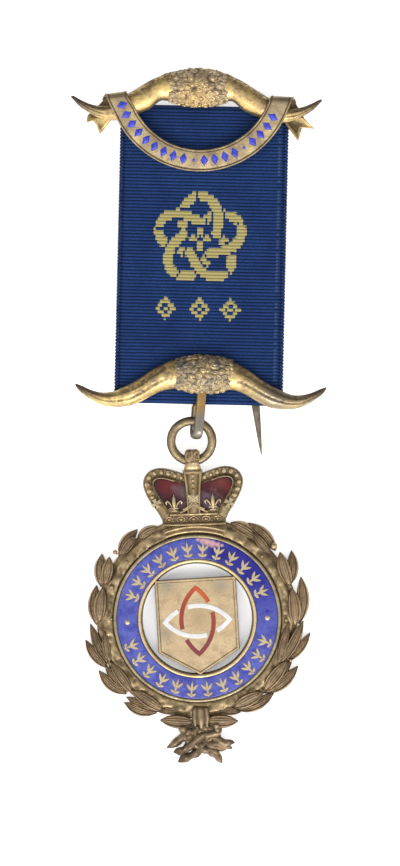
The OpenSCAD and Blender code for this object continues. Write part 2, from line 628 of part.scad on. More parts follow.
// One arch of the crown with its pearls, on the right
module crown_arch(top) {
    path = curve(arch_points, 3);
    skin([for (i = [0:len(path) - 1])
        let (d = unit(path[min(i + 1, len(path) - 1)] - path[max(i - 1, 0)]), out = [-d[1], d[0]] * arch_w / 2)
        [for (q = [[-1, 0.3], [1, 0.3], [1, 0.75 * top], [0.6, 0.95 * top], [0, top], [-0.6, 0.95 * top],
            [-1, 0.75 * top]]) [path[i][0] + q[0] * out[0], path[i][1] + q[0] * out[1], q[1]]]]);
    for (i = [2:2:len(path) - 2]) translate([path[i][0], path[i][1], top + fit]) rotate(20) sphere(pearl_r, $fn = 6);
}

module crown_body() {
    top = 0.86 * crown_relief;
    band = 0.63 * crown_w / 2;
    band_h = 0.2 * crown_h;
    translate([0, 0, 0.12]) linear_extrude(0.4 * crown_relief - 0.12) polygon(crown_outline(0.3));
    for (side = [0, 1]) mirror([side, 0, 0]) crown_arch(top);
    translate([0, 0, 0.4]) linear_extrude(top - 0.5) crown_middle();
    for (i = [0:3]) translate([0, crown_y + (0.48 + 0.12 * i) * crown_h, top]) sphere(pearl_r, $fn = 6);
    translate([0, 0, 0.5]) linear_extrude(0.75 * crown_relief - 0.5) crown_ornaments();
    // Band with its mouldings and stones
    hull() for (z = [0.2, 0.7 * crown_relief]) translate([-band + z / 4, crown_y - 0.2, z])
        cube([2 * band - z / 2, band_h, 0.1]);
    for (y = [crown_y - 0.2, band_top - 0.7]) translate([-band - 0.1, y, 0.3])
        cube([2 * band + 0.2, 0.7, 0.8 * crown_relief - 0.3]);
    for (i = [-2:2]) translate([i * band * 0.4, crown_y + band_h / 2 - 0.05, 0.65 * crown_relief])
        scale([i == 0 ? 1 : 1.3, 0.8, 1]) hull() {
            cylinder(h = 0.5, r = i == 0 ? 1 : 0.65, $fn = i == 0 ? 4 : 8);
            cylinder(h = 0.75, r = 0.25, $fn = 4);
        }
    // Collar down to the wreath
    translate([-band - 0.3, collar_y - 0.4, 0.15])
        cube([2 * band + 0.6, crown_y - collar_y + 0.6, 0.6 * crown_relief]);
    orb();
}

// The orb above the crown, with a hole across it for the tilted and curved wire of the ring
module orb() {
    difference() {
        hull() {
            translate([-2.1, arch_top_y - 1.6, 0.05]) cube([4.2, 0.5, crown_relief]);
            translate([-1.6, orb_y - 0.4, 0.05]) cube([3.2, 0.5, 4.1]);
            translate([-1.8, orb_y + 0.3, 0.05]) cube([3.6, orb_h - 1, 4.2]);
            translate([-1.3, orb_y + orb_h - 0.5, 0.3]) cube([2.6, 0.5, 3.6]);
        }
        translate([0, medal_drop, (hook_bend_z + hole_z) / 2]) rotate([ring_tilt, 0, 0])
            rotate_extrude() translate([ring_r, 0]) circle(ring_wire + gap, $fn = 20);
    }
}

module crown_wreath() {
    color("peru") pendant() difference() {
        union() {
            cylinder(h = 0.62 * wreath_relief, r = plate_r[0], $fn = 60);
            cylinder(h = 0.45 * wreath_relief, r = plate_r[1], $fn = 60);
            laurel();
            for (b = BERRIES) hull() {
                translate([b[0] * wreath_r, b[1] * wreath_r, 0.7 * wreath_relief]) sphere(b[2] * wreath_r, $fn = 7);
                translate([0.93 * b[0] * wreath_r, 0.93 * b[1] * wreath_r, 0.35 * wreath_relief])
                    sphere(0.6 * b[2] * wreath_r, $fn = 5);
            }
            stems();
            crown_body();
        }
        translate([0, 0, medal_z - 0.4 * gap]) cylinder(h = 2 * wreath_relief, r = medal_r + 0.8 * gap, $fn = 60);
        translate([0, 0, -1]) cylinder(h = 1 + 2 * wreath_relief, r = enamel_r0 + 2 * rim_w, $fn = 60);
    }
}

module crown_enamel() {
    floor_z = 0.4 * crown_relief + 0.02;
    color("firebrick") pendant() translate([0, 0, floor_z]) linear_extrude(0.14 * crown_relief) difference() {
        offset(delta = -arch_w / 2 - fit, $fn = 12) polygon(crown_outline());
        crown_middle(fit);
        crown_ornaments(fit);
        translate([-crown_w, 0]) square([2 * crown_w, band_top + fit]);
    }
}

// A gilt sprig let into the enamel: three leaves on a stem, between two leaves at its foot
module sprig(grow = 0) {
    h = 0.72 * enamel_w;
    for (part = [[0, 0, 1], [0.3, 38, 0.62], [0.3, -38, 0.62], [0, 62, 0.36], [0, -62, 0.36]])
        translate([(part[0] - 0.5) * h, 0]) rotate(part[1]) let (l = part[2] * h)
            polygon([[-grow, 0], [0.55 * l, 0.12 * h + grow], [l + 2 * grow, 0], [0.55 * l, -0.12 * h - grow]]);
    translate([-0.5 * h, 0]) circle(0.06 * h + grow, $fn = 7);
}

// All sprigs and the two dots round the enamel ring, the sprigs with their tips to the top
module ring_ornaments(grow = 0) {
    count = 12;
    middle = (enamel_r0 + enamel_r1) / 2;
    for (start = [90, 270], i = [0:count - 1]) {
        a = start + (i - (count - 1) / 2) * 12.6;
        translate(polar(middle, a)) rotate(a + (start == 90 ? 0 : 180)) sprig(grow);
    }
    for (a = [-1.3, 181.3]) translate(polar(middle, a)) circle(0.55 + grow);
}

// The shield's outline: its upper corners and its lower point reach a little way into the inner rim
module shield_outline(inset = 0) {
    w = shield_w / 2 - inset;
    top = sqrt(pow(hole_r + 0.2 * rim_w, 2) - pow(shield_w / 2, 2)) - inset;
    point = hole_r + 0.1 * rim_w - 1.15 * inset;
    polygon([[-w, top], [w, top], [w, -0.4 * shield_w], [0, -point], [-w, -0.4 * shield_w]]);
}

module medallion() {
    floor_z = medal_t - cell_depth;
    color("gold") pendant() translate([0, 0, medal_z]) {
        rotate_extrude() polygon([[hole_r, 0], [medal_r, 0], [medal_r, medal_t], [enamel_r1, medal_t],
            [enamel_r1, floor_z], [enamel_r0, floor_z], [enamel_r0, medal_t], [hole_r, medal_t]]);
        translate([0, 0, floor_z - 0.1]) linear_extrude(cell_depth + 0.05) ring_ornaments();
        intersection() {
            cylinder(h = medal_t, r = (hole_r + enamel_r0) / 2);
            rotate(shield_turn) difference() {
                linear_extrude(0.9 * medal_t) shield_outline();
                translate([0, 0, 0.9 * medal_t - 0.2]) linear_extrude(1) shield_outline(0.35);
            }
        }
    }
}

module ring_enamel() {
    color("mediumblue") pendant() translate([0, 0, medal_z + medal_t - cell_depth + 0.02])
        linear_extrude(0.75 * cell_depth) difference() {
            circle(enamel_r1 - fit);
            circle(enamel_r0 + fit);
            ring_ornaments(fit);
        }
}

// A pointed oval along X, half_l long and half_h high, its outline moved out by grow
module pointed_oval(half_l, half_h, grow) {
    r = (half_l * half_l + half_h * half_h) / (2 * half_h);
    intersection() {
        translate([0, r - half_h]) circle(r + grow);
        translate([0, half_h - r]) circle(r + grow);
    }
}

module oval_stroke(half_l, half_h, stroke) {
    difference() {
        pointed_oval(half_l, half_h, stroke / 2);
        pointed_oval(half_l, half_h, -stroke / 2);
    }
}

module white_oval(grow = 0) {
    oval_stroke(0.4 * shield_w, 0.19 * shield_w, 1.2 + 2 * grow);
}

module red_oval(grow = 0) {
    rotate(90) oval_stroke(0.41 * shield_w, 0.2 * shield_w, 1.1 + 2 * grow);
}

// The two quarters of the shield in which one oval passes under the other
module quarters(first) {
    for (side = [-1, 1]) translate([side > 0 ? 0 : -shield_w, side * first > 0 ? 0 : -shield_w]) square(shield_w);
}

module on_shield() {
    pendant() translate([0, 0, medal_z + 0.9 * medal_t - 0.2 + 0.02]) rotate(shield_turn)
        translate([0, -0.03 * shield_w]) linear_extrude(0.2) children();
}

module motif_red() {
    color("firebrick") on_shield() difference() {
        red_oval();
        intersection() {
            white_oval(2 * fit);
            quarters(1);
        }
    }
}

module motif_white() {
    color("white") on_shield() difference() {
        white_oval();
        intersection() {
            red_oval(2 * fit);
            quarters(-1);
        }
    }
}

top_bar();
brooch_pin();
scroll();
scroll_enamel();
ribbon();
lower_bar();
pin_rivet();
bar_pin();
suspension_ring();
crown_wreath();
crown_enamel();
medallion();
ring_enamel();
motif_red();
motif_white();
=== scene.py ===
# Breast jewel: horned bars, ribbed ribbon, scroll, ring, and a crowned and wreathed pendant.
# Lengths are in mm until a mesh is built. Colours are as read off a screen, 0 to 255.
import math
import bmesh
import bpy
import numpy as np
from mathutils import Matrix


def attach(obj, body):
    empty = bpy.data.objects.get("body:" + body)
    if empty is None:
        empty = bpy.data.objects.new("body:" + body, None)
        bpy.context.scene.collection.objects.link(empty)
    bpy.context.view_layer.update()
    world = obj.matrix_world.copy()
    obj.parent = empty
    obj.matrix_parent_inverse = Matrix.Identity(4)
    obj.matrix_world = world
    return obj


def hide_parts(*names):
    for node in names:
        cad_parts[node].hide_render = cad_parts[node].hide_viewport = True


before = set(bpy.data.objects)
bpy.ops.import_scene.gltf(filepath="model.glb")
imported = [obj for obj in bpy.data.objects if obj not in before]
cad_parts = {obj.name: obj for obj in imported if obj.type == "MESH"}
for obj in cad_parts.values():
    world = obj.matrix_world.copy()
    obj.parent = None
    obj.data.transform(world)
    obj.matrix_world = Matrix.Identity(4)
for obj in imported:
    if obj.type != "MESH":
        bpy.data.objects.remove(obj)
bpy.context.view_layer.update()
mm = 0.001

# places that follow the CAD
jewel = {"lowerBar": (0.97, 9.261), "topBar": (-0.97, 74.761), "scroll": (-0.183, 76.861),
         "ring": (-0.956, -5.989, 3.125), "ringTilt": 12.6, "pendant": (0.947, -46.481), "pendantTurn": 2.69,
         "hinge": (13.02, 6.661)}


# shapes
def circle(count):
    # angles once round
    return np.linspace(0, 2 * np.pi, count, endpoint=False)


def grid(*parts):
    # arrays of coordinates put together as points
    return np.stack(np.broadcast_arrays(*parts), -1)


def around(angle, radius, z):
    # points round the upright line through 0
    return grid(radius * np.cos(angle), radius * np.sin(angle), z)


def raised(flat, z):
    # places on the table lifted to a height
    return np.column_stack([flat, np.broadcast_to(z, len(flat))])


def ray(angle, reach=1.0):
    return np.array([math.cos(math.radians(angle)), math.sin(math.radians(angle))]) * reach


def unit(x):
    return np.clip(x, 0, 1)


def bump(x, middle, width):
    return np.exp(-((x - middle) / width) ** 2)


def along(table, t):
    # reads a table of (place, value) rows at t
    return np.interp(t, *np.array(table, float).T)


def mirrored(half):
    # the right half of a section, from x > 0 to the middle, with its mirror image after it
    half = np.array(half, float)
    return np.vstack([half, half[half[:, 0] != 0][::-1] * (-1, 1, 1)])


def squared(wave, power):
    # sines and cosines that make a circle squarer
    return np.sign(wave) * np.abs(wave) ** power


def quarterTurn(way):
    return grid(-way[..., 1], way[..., 0])


def lengths(path):
    # how far along the path each of its points is
    return np.concatenate([[0], np.cumsum(np.linalg.norm(np.diff(path, axis=0), axis=1))])


def follow(steps, at, path):
    # places on a path whose own points are at the given lengths
    return grid(*(np.interp(steps, at, line) for line in np.transpose(path)))


def heading(path):
    way = np.gradient(path, axis=0)
    return way / (np.linalg.norm(way, axis=1)[:, None] + 1e-9)


def catmull(points, steps):
    # smooth curve through the points, with steps between two of them
    p = np.asarray(points, float)
    p = np.vstack([p[:1], p, p[-1:]])
    t = np.linspace(0, 1, steps, endpoint=False)[:, None]
    parts = [0.5 * (2 * b + (c - a) * t + (2 * a - 5 * b + 4 * c - d) * t ** 2
                    + (3 * b - a - 3 * c + d) * t ** 3) for a, b, c, d in zip(p, p[1:], p[2:], p[3:])]
    return np.vstack(parts + [p[-1:]])


def lattice(cells):
    # repeatable random numbers for whole-numbered cells
    h = np.sin(cells @ np.array([127.1, 311.7, 74.7])[:cells.shape[-1]]) * 43758.5453
    return h - np.floor(h)


def cloud(points, size, seed=0.0):
    # smooth noise from -1 to 1, size is the width of a blotch
    p = np.asarray(points, float) / size + seed
    cell, f = np.floor(p), p - np.floor(p)
    f = f * f * (3 - 2 * f)
    total = 0
    for corner in np.ndindex(*(2,) * p.shape[-1]):
        c = np.array(corner)
        total = total + lattice(cell + c) * np.prod(np.where(c == 1, f, 1 - f), axis=-1)
    return 2 * total - 1


def curls(p, arm=0.42, stray=0.45):
    # height of curly wool over a flat place p counted in tufts: small spirals on round tufts
    p = p + stray * grid(cloud(p, 1.9), cloud(p, 1.9, 7.0))
    best, height = np.full(p.shape[:-1], 9.0), np.zeros(p.shape[:-1])
    for corner in np.ndindex(3, 3):
        c = np.floor(p) + np.array(corner) - 1
        shift = grid(lattice(c), lattice(c[..., ::-1] + 9.0))
        d = p - c - 0.08 - 0.84 * shift
        r = np.hypot(d[..., 0], d[..., 1])
        hand = np.where(lattice(c + 3.0) > 0.5, 1, -1)
        swirl = np.cos(hand * np.arctan2(d[..., 1], d[..., 0]) + 6.283 * (r / arm + shift[..., 0]))
        h = (0.8 - r ** 2) * (0.84 + 0.16 * swirl) * (0.75 + 0.5 * lattice(c + 5.0))
        height = np.where(r < best, h, height)
        best = np.minimum(r, best)
    return height


def inset(outline, d):
    # moves a closed outline inwards by d, corner by corner
    if not d:
        return outline
    area = np.sum(outline[:, 0] * np.roll(outline[:, 1], -1) - outline[:, 1] * np.roll(outline[:, 0], -1))
    before, after = outline - np.roll(outline, 1, 0), np.roll(outline, -1, 0) - outline
    mitre = sum(quarterTurn(e) / (np.linalg.norm(e, axis=1)[:, None] + 1e-9) for e in (before, after))
    return outline + np.sign(area) * d * 2 * mitre / np.maximum(np.sum(mitre * mitre, 1), 0.7)[:, None]


def turned(points, angle, at=(0, 0)):
    # turns points about the vertical line through at
    c, s = ray(angle)
    points = np.array(points, float)
    x, y = points[..., 0] - at[0], points[..., 1] - at[1]
    points[..., 0], points[..., 1] = at[0] + c * x - s * y, at[1] + s * x + c * y
    return points


def onPendant(points):
    # from the medallion's own middle, with Y up the pendant, to its place
    return turned(points, jewel["pendantTurn"]) + (*jewel["pendant"], 0)


def wireRows(path, radius, sides, flat=1.0):
    # rings of points round a path that lies nearly flat
    way = heading(path)
    side = np.cross(way, (0, 0, 1.0))
    side /= np.linalg.norm(side, axis=1)[:, None] + 1e-9
    a, up = circle(sides)[:, None], flat * np.cross(side, way)
    return path[:, None] + radius[..., None] * (side[:, None] * np.cos(a) + up[:, None] * np.sin(a))


def placed(name, data, at=(0, 0, 0), turn=(0, 0, 0)):
    # a new object in the scene
    made = bpy.data.objects.new(name, data)
    made.location, made.rotation_euler = at, turn
    bpy.context.collection.objects.link(made)
    return made


class Shape:
    # gathers points and faces, in mm, and builds one mesh; the grime value runs from 0 on worn edges to 1 in hollows,
    # and darkens the colour: tarnish in hollows plus painted shade in crevices, on steep sides and under things
    def __init__(self):
        self.points, self.grime, self.faces, self.slots, self.count = [], [], [], [], 0

    def loft(self, rows, grime=0.0, looped=False, slot=None):
        # closed sections, one after another, with ends unless they are looped
        rows = np.asarray(rows, float)
        n, m = rows.shape[:2]
        i, j = np.meshgrid(np.arange(n if looped else n - 1), np.arange(m), indexing="ij")
        k, q = (j + 1) % m, (i + 1) % n
        faces = grid(i * m + j, i * m + k, q * m + k, q * m + j).reshape(-1, 4).tolist()
        if not looped:
            faces += [list(range(m))[::-1], list(range((n - 1) * m, n * m))]
        self.points.append(rows.reshape(-1, 3))
        self.grime.append(np.broadcast_to(grime, (n, m)).reshape(-1))
        self.faces += [[v + self.count for v in face] for face in faces]
        self.slots += [0] * len(faces) if slot is None else list(slot)
        self.count += n * m

    def tube(self, path, radius, sides=12, grime=0.0, flat=1.0):
        # round wire along a path in the plane of the table, flat squeezes it in height
        path = np.asarray(path, float)
        self.loft(wireRows(path, np.broadcast_to(radius, len(path))[:, None], sides, flat), grime)

    def ball(self, centre, radius, sides=14, rings=8, flat=1.0):
        # bead with painted shade at its foot
        t, a = np.radians(np.linspace(-90, 90, rings + 1)[1:-1])[:, None], circle(sides)
        self.loft(around(a, np.cos(t), flat * np.sin(t)) * radius + centre, unit(0.55 - np.sin(t)))

    def plate(self, outline, low, high, rim=0.0, sink=0.0, grime=0.0, edge=0.06, flare=0.0):
        # flat piece with softened edges, and where rim is set a raised border round a sunk field
        outline = np.asarray(outline, float)
        # painted shade down its sides and along the sunk field's edge under the rim
        levels = [(-flare, low, 1), (0, high - edge, 0.5), (edge, high, 0)]
        if rim:
            levels += [(rim - edge, high, 0), (rim + edge, high - sink, 1), (rim + 3 * edge, high - sink, 0)]
        self.loft([raised(inset(outline, d), z) for d, z, dark in levels],
                  [[0.9 * dark + grime] for d, z, dark in levels])

    def levels(self, steps, outline):
        # one outline over another, from rows of size, height and grime
        self.loft([outline(size, z) for size, z, dark in steps], [[dark] for size, z, dark in steps])

    def lathe(self, centre, profile, sides=32, grime=0.0, looped=False):
        # rows of radius and height turned about an upright line
        rings = [around(circle(sides), r, z) + (*centre, 0) for r, z in profile]
        self.loft(rings, np.reshape(grime, (-1, 1)), looped)

    def blocks(self, at, boxes, soft=0.08):
        for (x0, y0, z0), (x1, y1, z1) in boxes:
            self.plate(np.array([(x0, y0), (x1, y0), (x1, y1), (x0, y1)]) + at, z0, z1, edge=soft)

    def made(self, name, place=None):
        points = np.vstack(self.points)
        if place is not None:
            points = place(points)
        mesh = bpy.data.meshes.new(name)
        mesh.from_pydata((points * mm).tolist(), [], self.faces)
        mesh.update()
        mesh.attributes.new("grime", "FLOAT", "POINT").data.foreach_set(
            "value", np.concatenate(self.grime).astype(np.float32))
        mesh.polygons.foreach_set("material_index", self.slots)
        bm = bmesh.new()
        bm.from_mesh(mesh)
        bmesh.ops.recalc_face_normals(bm, faces=bm.faces)
        bm.to_mesh(mesh)
        bm.free()
        return placed(name, mesh)

    def build(self, name, finishes, slot, replaces=(), body="jewel", place=None, crease=35):
        piece = self.made(name, place)
        mesh = piece.data
        for finish in finishes if isinstance(finishes, list) else [finishes]:
            mesh.materials.append(finish)
        mesh.shade_smooth()
        if crease < 180:
            mesh.set_sharp_from_angle(angle=math.radians(crease))
        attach(piece, body)
        if replaces:
            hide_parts(*replaces)
        return piece

    def cast(self, name, look, slot="worn_gilt", **more):
        # a gilt piece of the pendant
        return self.build(name, gold[look], slot, place=onPendant, **more)


def cutOut(piece, drill):
    # takes the drill's shape out of the piece for good
    tool = drill.made("drill")
    modifier = piece.modifiers.new("hole", "BOOLEAN")
    modifier.object, modifier.solver = tool, "EXACT"
    graph = bpy.context.evaluated_depsgraph_get()
    piece.data = bpy.data.meshes.new_from_object(piece.evaluated_get(graph))
    piece.modifiers.clear()
    bpy.data.objects.remove(tool)


# finishes
def tint(r, g, b):
    # a colour as read off a screen, made linear
    return tuple(((c / 255 + 0.055) / 1.055) ** 2.4 if c > 10 else c / 3294 for c in (r, g, b)) + (1,)


class Wire:
    # one shader value that can be used in sums
    def __init__(self, finish, socket):
        self.finish, self.socket = finish, socket

    def sum(self, operation, *values):
        return self.finish.node("Math", {"operation": operation}, dict(enumerate(values)))

    def __add__(self, other): return self.sum("ADD", self, other)
    def __radd__(self, other): return self.sum("ADD", other, self)
    def __sub__(self, other): return self.sum("SUBTRACT", self, other)
    def __rsub__(self, other): return self.sum("SUBTRACT", other, self)
    def __mul__(self, other): return self.sum("MULTIPLY", self, other)
    def __rmul__(self, other): return self.sum("MULTIPLY", other, self)
    def __pow__(self, other): return self.sum("POWER", self, other)


class Finish:
    # the nodes of one material, or of the world
    def __init__(self, owner):
        owner.use_nodes = True
        self.owner, self.tree = owner, owner.node_tree
        self.tree.nodes.clear()
        self.place = self.node("TexCoord", output="Object")

    def node(self, kind, settings=None, inputs=None, output=0):
        # settings are put in before the inputs are linked
        made = self.tree.nodes.new("ShaderNode" + kind)
        for key, value in (settings or {}).items():
            if key == "stops":
                ramp = made.color_ramp
                while len(ramp.elements) < len(value):
                    ramp.elements.new(0.5)
                for element, (spot, colour) in zip(ramp.elements, value):
                    element.position, element.color = spot, colour
            else:
                setattr(made, key, value)
        for key, value in (inputs or {}).items():
            if isinstance(value, Wire):
                self.tree.links.new(value.socket, made.inputs[key])
            else:
                made.inputs[key].default_value = value
        return Wire(self, made.outputs[output] if made.outputs else None)

    def noise(self, size, detail=3, stretch=(1, 1, 1), rough=0.55):
        # blotches of about that size in mm
        spot = self.node("Mapping", {}, {"Vector": self.place, "Scale": stretch})
        return self.node("TexNoise", {}, {"Vector": spot, "Scale": 1 / (size * mm), "Detail": detail,
                                          "Roughness": rough})

    def grime(self):
        return self.node("Attribute", {"attribute_name": "grime"}, output="Fac")

    def spread(self, value, low, high, first=0.0, last=1.0):
        # maps low..high to first..last and clips
        return self.node("MapRange", {"clamp": True}, {"Value": value, "From Min": low, "From Max": high,
                                                       "To Min": first, "To Max": last})

    def mix(self, amount, first, second):
        # second over first; a tuple is a colour off the screen, a list is already linear
        first, second = (tint(*colour) if isinstance(colour, tuple) else colour for colour in (first, second))
        return self.node("Mix", {"data_type": "RGBA"}, {0: amount, 6: first, 7: second}, output=2)

    def part(self, axis):
        # the object's own X or Y in mm
        return self.node("SeparateXYZ", {}, {"Vector": self.place}, output=axis) * 1000

    def patches(self, colour, spots, ripple):
        # round patches of (x, y, full within, gone beyond, colour), ragged by the ripple
        x, y = self.part("X"), self.part("Y")
        for spotX, spotY, near, far, tone in spots:
            dx, dy = x - spotX, y - spotY
            reach = (dx * dx + dy * dy) ** 0.5 * (ripple + 1)
            colour = self.mix(self.spread(reach, near, far, 1, 0), colour, tone)
        return colour

    def shade(self, colour, rough, metallic, height=None, depth=0.1, coat=0.0, gloss=0.5, glow=(0, 0, 0, 1)):
        inputs = {"Base Color": colour, "Roughness": rough, "Metallic": metallic, "Coat Weight": coat,
                  "Specular IOR Level": gloss, "Emission Color": glow, "Emission Strength": 1.0}
        if height is not None:
            inputs["Normal"] = self.node("Bump", {}, {"Height": height, "Strength": 1.0, "Distance": depth * mm})
        self.node("OutputMaterial", {}, {"Surface": self.node("BsdfPrincipled", {}, inputs)})
        return self.owner


def gilding(name, look):
    # worn gilding: bright on edges, brown film in patches, and darker where the grime value is high: tarnish in
    # hollows plus painted shade in crevices and on steep sides
    f = Finish(bpy.data.materials.new(name))
    patch, fleck = f.noise(look["patch"], 4), f.noise(look["fleck"], 3, rough=0.7)
    grain, dirtAndShade = f.noise(0.16, 2), f.grime()
    film = f.spread(patch * 0.65 + fleck * 0.35, *look["film"])
    colour = f.mix(film, look["bright"], look["dull"])
    if "fade" in look:
        low, high, tone = look["fade"]
        colour = f.mix(f.spread(f.part("Y") * -1 + patch * 2, low, high), colour, tone)
    colour = f.patches(colour, look["patches"], (patch - 0.5) * 2.5)
    colour = f.mix(f.spread(fleck, 0.62, 0.74, 0, look["spots"]), colour, look["spot"])
    mottle = look["mottle"]
    dark = f.spread(dirtAndShade + fleck * mottle + patch * mottle * 0.5, 0.15 + 0.75 * mottle, 1 + 0.75 * mottle, 0,
                    look["dirtAndShade"])
    colour = f.mix(dark, colour, look["dark"])
    rough = f.spread(film * 0.6 + grain * 0.4 + dark, 0.1, 1.3, look["rough"], look["rough"] + 0.3)
    return f.shade(colour, rough, 0.88 - dark * 0.4, grain * 0.5 + fleck, look["pitting"])


print("finishes")
# sizes of patches and flecks, reach of the brown film, strength of spots and of the darkening (tarnish with painted
# shade), roughness, depth of pits; colours
goldKeys = ("patch", "fleck", "film", "spots", "dirtAndShade", "rough", "pitting", "bright", "dull", "spot", "dark")
goldLooks = {
    "bars": (3.2, 0.8, (0.4, 0.66), 0.5, 0.85, 0.24, 0.05,
             (250, 216, 140), (174, 150, 122), (111, 90, 74), (70, 54, 36)),
    "wool": (4, 0.7, (0.36, 0.6), 0.5, 0.85, 0.28, 0.04,
             (221, 200, 161), (182, 160, 131), (210, 209, 212), (78, 60, 40)),
    "darkWool": (3.4, 0.7, (0.38, 0.66), 0.45, 0.85, 0.28, 0.04,
                 (213, 186, 135), (123, 121, 123), (190, 188, 194), (62, 54, 44)),
    "scroll": (3.2, 0.55, (0.36, 0.62), 0.5, 0.95, 0.36, 0.04,
               (171, 153, 113), (134, 117, 97), (111, 92, 85), (84, 64, 46)),
    "tail": (1.6, 0.5, (0.4, 0.64), 0.5, 0.9, 0.24, 0.05,
             (244, 214, 142), (196, 168, 120), (112, 90, 68), (62, 48, 34)),
    "wreath": (3, 0.6, (0.38, 0.64), 0.5, 0.85, 0.3, 0.06,
               (188, 163, 129), (148, 126, 100), (101, 82, 65), (84, 66, 46)),
    "crown": (2.6, 0.6, (0.38, 0.64), 0.4, 0.85, 0.28, 0.05,
              (199, 176, 135), (157, 135, 102), (99, 81, 58), (88, 68, 44)),
    "ornament": (2, 0.5, (0.42, 0.68), 0.45, 0.95, 0.22, 0.04,
                 (224, 205, 166), (176, 156, 122), (112, 94, 74), (72, 58, 42)),
    "rim": (3, 0.6, (0.4, 0.64), 0.4, 0.9, 0.3, 0.04,
            (190, 175, 142), (144, 131, 106), (106, 95, 80), (70, 60, 46)),
    "cream": (2.2, 0.5, (0.44, 0.7), 0.35, 0.8, 0.34, 0.03,
              (214, 196, 160), (182, 160, 124), (140, 126, 110), (104, 88, 66)),
    "hook": (2.4, 0.5, (0.4, 0.66), 0.4, 0.85, 0.24, 0.03,
             (184, 150, 92), (154, 124, 77), (103, 84, 59), (66, 54, 40)),
    "ring": (2.4, 0.6, (0.36, 0.62), 0.5, 0.9, 0.3, 0.05,
             (164, 146, 112), (133, 117, 91), (85, 73, 57), (62, 52, 38)),
    "medallion": (2.6, 0.6, (0.42, 0.66), 0.4, 0.9, 0.3, 0.04,
                  (240, 216, 166), (204, 176, 130), (140, 122, 100), (80, 66, 44)),
    "shield": (2.2, 0.45, (0.4, 0.7), 0.5, 0.95, 0.42, 0.05,
               (221, 196, 156), (180, 159, 126), (146, 130, 112), (84, 68, 46)),
    "steel": (1.8, 0.5, (0.35, 0.65), 0.5, 0.8, 0.32, 0.03,
              (150, 139, 118), (102, 92, 76), (96, 86, 72), (48, 42, 34))}
goldExtras = {
    "bars": {"mottle": 1.3, "patches": [
        (-28.6, 72.5, 1.5, 8.5, (136, 126, 114)), (26.8, 71.9, 1.0, 7.0, (150, 138, 116)),
        (-27.6, 6.9, 1.0, 6.5, (118, 110, 98)), (29.2, 6.9, 1.5, 10.0, (120, 112, 100)),
        (18.5, 4.6, 1.0, 9.0, (156, 142, 120))]},
    "wool": {"patches": [(-1.0, 70.8, 1.5, 6.5, (214, 182, 128))]},
    "wreath": {"patches": [(-0.3, -75.8, 3.0, 7.5, (134, 116, 94)), (20.5, -42.0, 3.0, 11.0, (184, 156, 122))]},
    "crown": {"patches": [(8.2, -13.4, 1.0, 5.0, (134, 116, 88)), (-8.6, -13.4, 1.0, 4.5, (146, 126, 96))]},
    "hook": {"fade": (-1.2, 1.8, (146, 138, 126))},
    "shield": {"patches": [(-6.4, -38.9, 0.0, 3.4, (172, 158, 138)), (6.2, -38.9, 0.0, 3.0, (174, 160, 140)),
                           (-6.4, -50.0, 0.0, 2.6, (172, 158, 138)), (1.4, -46.4, 0.0, 3.6, (188, 166, 132))]}}
gold = {name: gilding("pin_steel" if name == "steel" else "gilt_" + name,
                      {**dict(zip(goldKeys, look)), "mottle": 0.5, "patches": (), **goldExtras.get(name, {})})
        for name, look in goldLooks.items()}


def glaze(name, patch, first, second, pit, edge, rough, coat=0.3, patches=()):
    # glassy enamel with cloudy patches, fine pits and painted shade at its edges
    f = Finish(bpy.data.materials.new("enamel_" + name))
    clouds, pits = f.noise(patch, 3), f.noise(0.22, 2)
    colour = f.mix(f.spread(clouds, 0.36, 0.64), first, second)
    colour = f.patches(colour, patches, (clouds - 0.5) * 2.5)
    colour = f.mix(f.spread(pits, 0.66, 0.74, 0, 0.5), colour, pit)
    # painted shade along the edges, where the grime value is high
    colour = f.mix(f.spread(f.grime(), 0.3, 1.0, 0, 0.75), colour, edge)
    rough = f.spread(pits * 0.5 + clouds * 0.5, 0.3, 0.7, rough, rough + 0.18)
    return f.shade(colour, rough, 0.0, pits * 0.4 + clouds, 0.05, coat, 0.3)


# chips of the ring's enamel: x, y and size
chips = [(0.8, -28.4, 0.5), (1.9, -28.7, 0.9), (3.0, -29.0, 1.15), (4.2, -29.25, 1.2), (5.4, -29.6, 1.0),
         (6.3, -29.7, 0.6)]
# size of the clouds, their two colours, colours of pits and of the painted shade at the edges, roughness, coat, and
# patches
enamelLooks = {
    "blue": (1.8, (98, 106, 194), (66, 72, 166), (58, 54, 104), (44, 40, 96), 0.16, 0.3, [
        (12.5, -33.8, 4, 13, (34, 34, 146)), (5.5, -31.6, 1.2, 4.4, (20, 18, 128)),
        (12.6, -36.6, 1.2, 4.0, (24, 22, 136))]
        + [(x, y, 0.3 * size, size, (218, 170, 176)) for x, y, size in chips]),
    "scroll_blue": (1.1, (22, 26, 166), (54, 72, 210), (96, 60, 120), (36, 26, 90), 0.18),
    "red": (1.6, (176, 78, 54), (158, 62, 56), (120, 60, 58), (110, 62, 44), 0.2, 0.3, [
        (1.8, -40.5, 0.5, 4.0, (208, 96, 50)), (0.6, -52.5, 3.0, 7.5, (140, 62, 66))]),
    "white": (2.0, (244, 243, 240), (232, 231, 232), (214, 210, 208), (170, 158, 140), 0.15),
    "crimson": (2.2, (92, 26, 29), (68, 27, 33), (96, 70, 84), (34, 22, 22), 0.3, 0.1, [
        (-6.2, -16.3, 0.6, 3.0, (110, 28, 31)), (5.9, -15.2, 0.2, 2.2, (118, 58, 46)),
        (7.8, -16.4, 0.3, 2.0, (116, 34, 36)), (-2.6, -17.8, 0.8, 2.6, (112, 86, 92)),
        (3.4, -19.6, 1.0, 2.8, (116, 92, 104)), (7.3, -20.6, 0.6, 2.2, (110, 84, 92)),
        (-2.2, -21.0, 0.2, 1.8, (110, 84, 92))])}
enamel = {name: glaze(name, *look) for name, look in enamelLooks.items()}


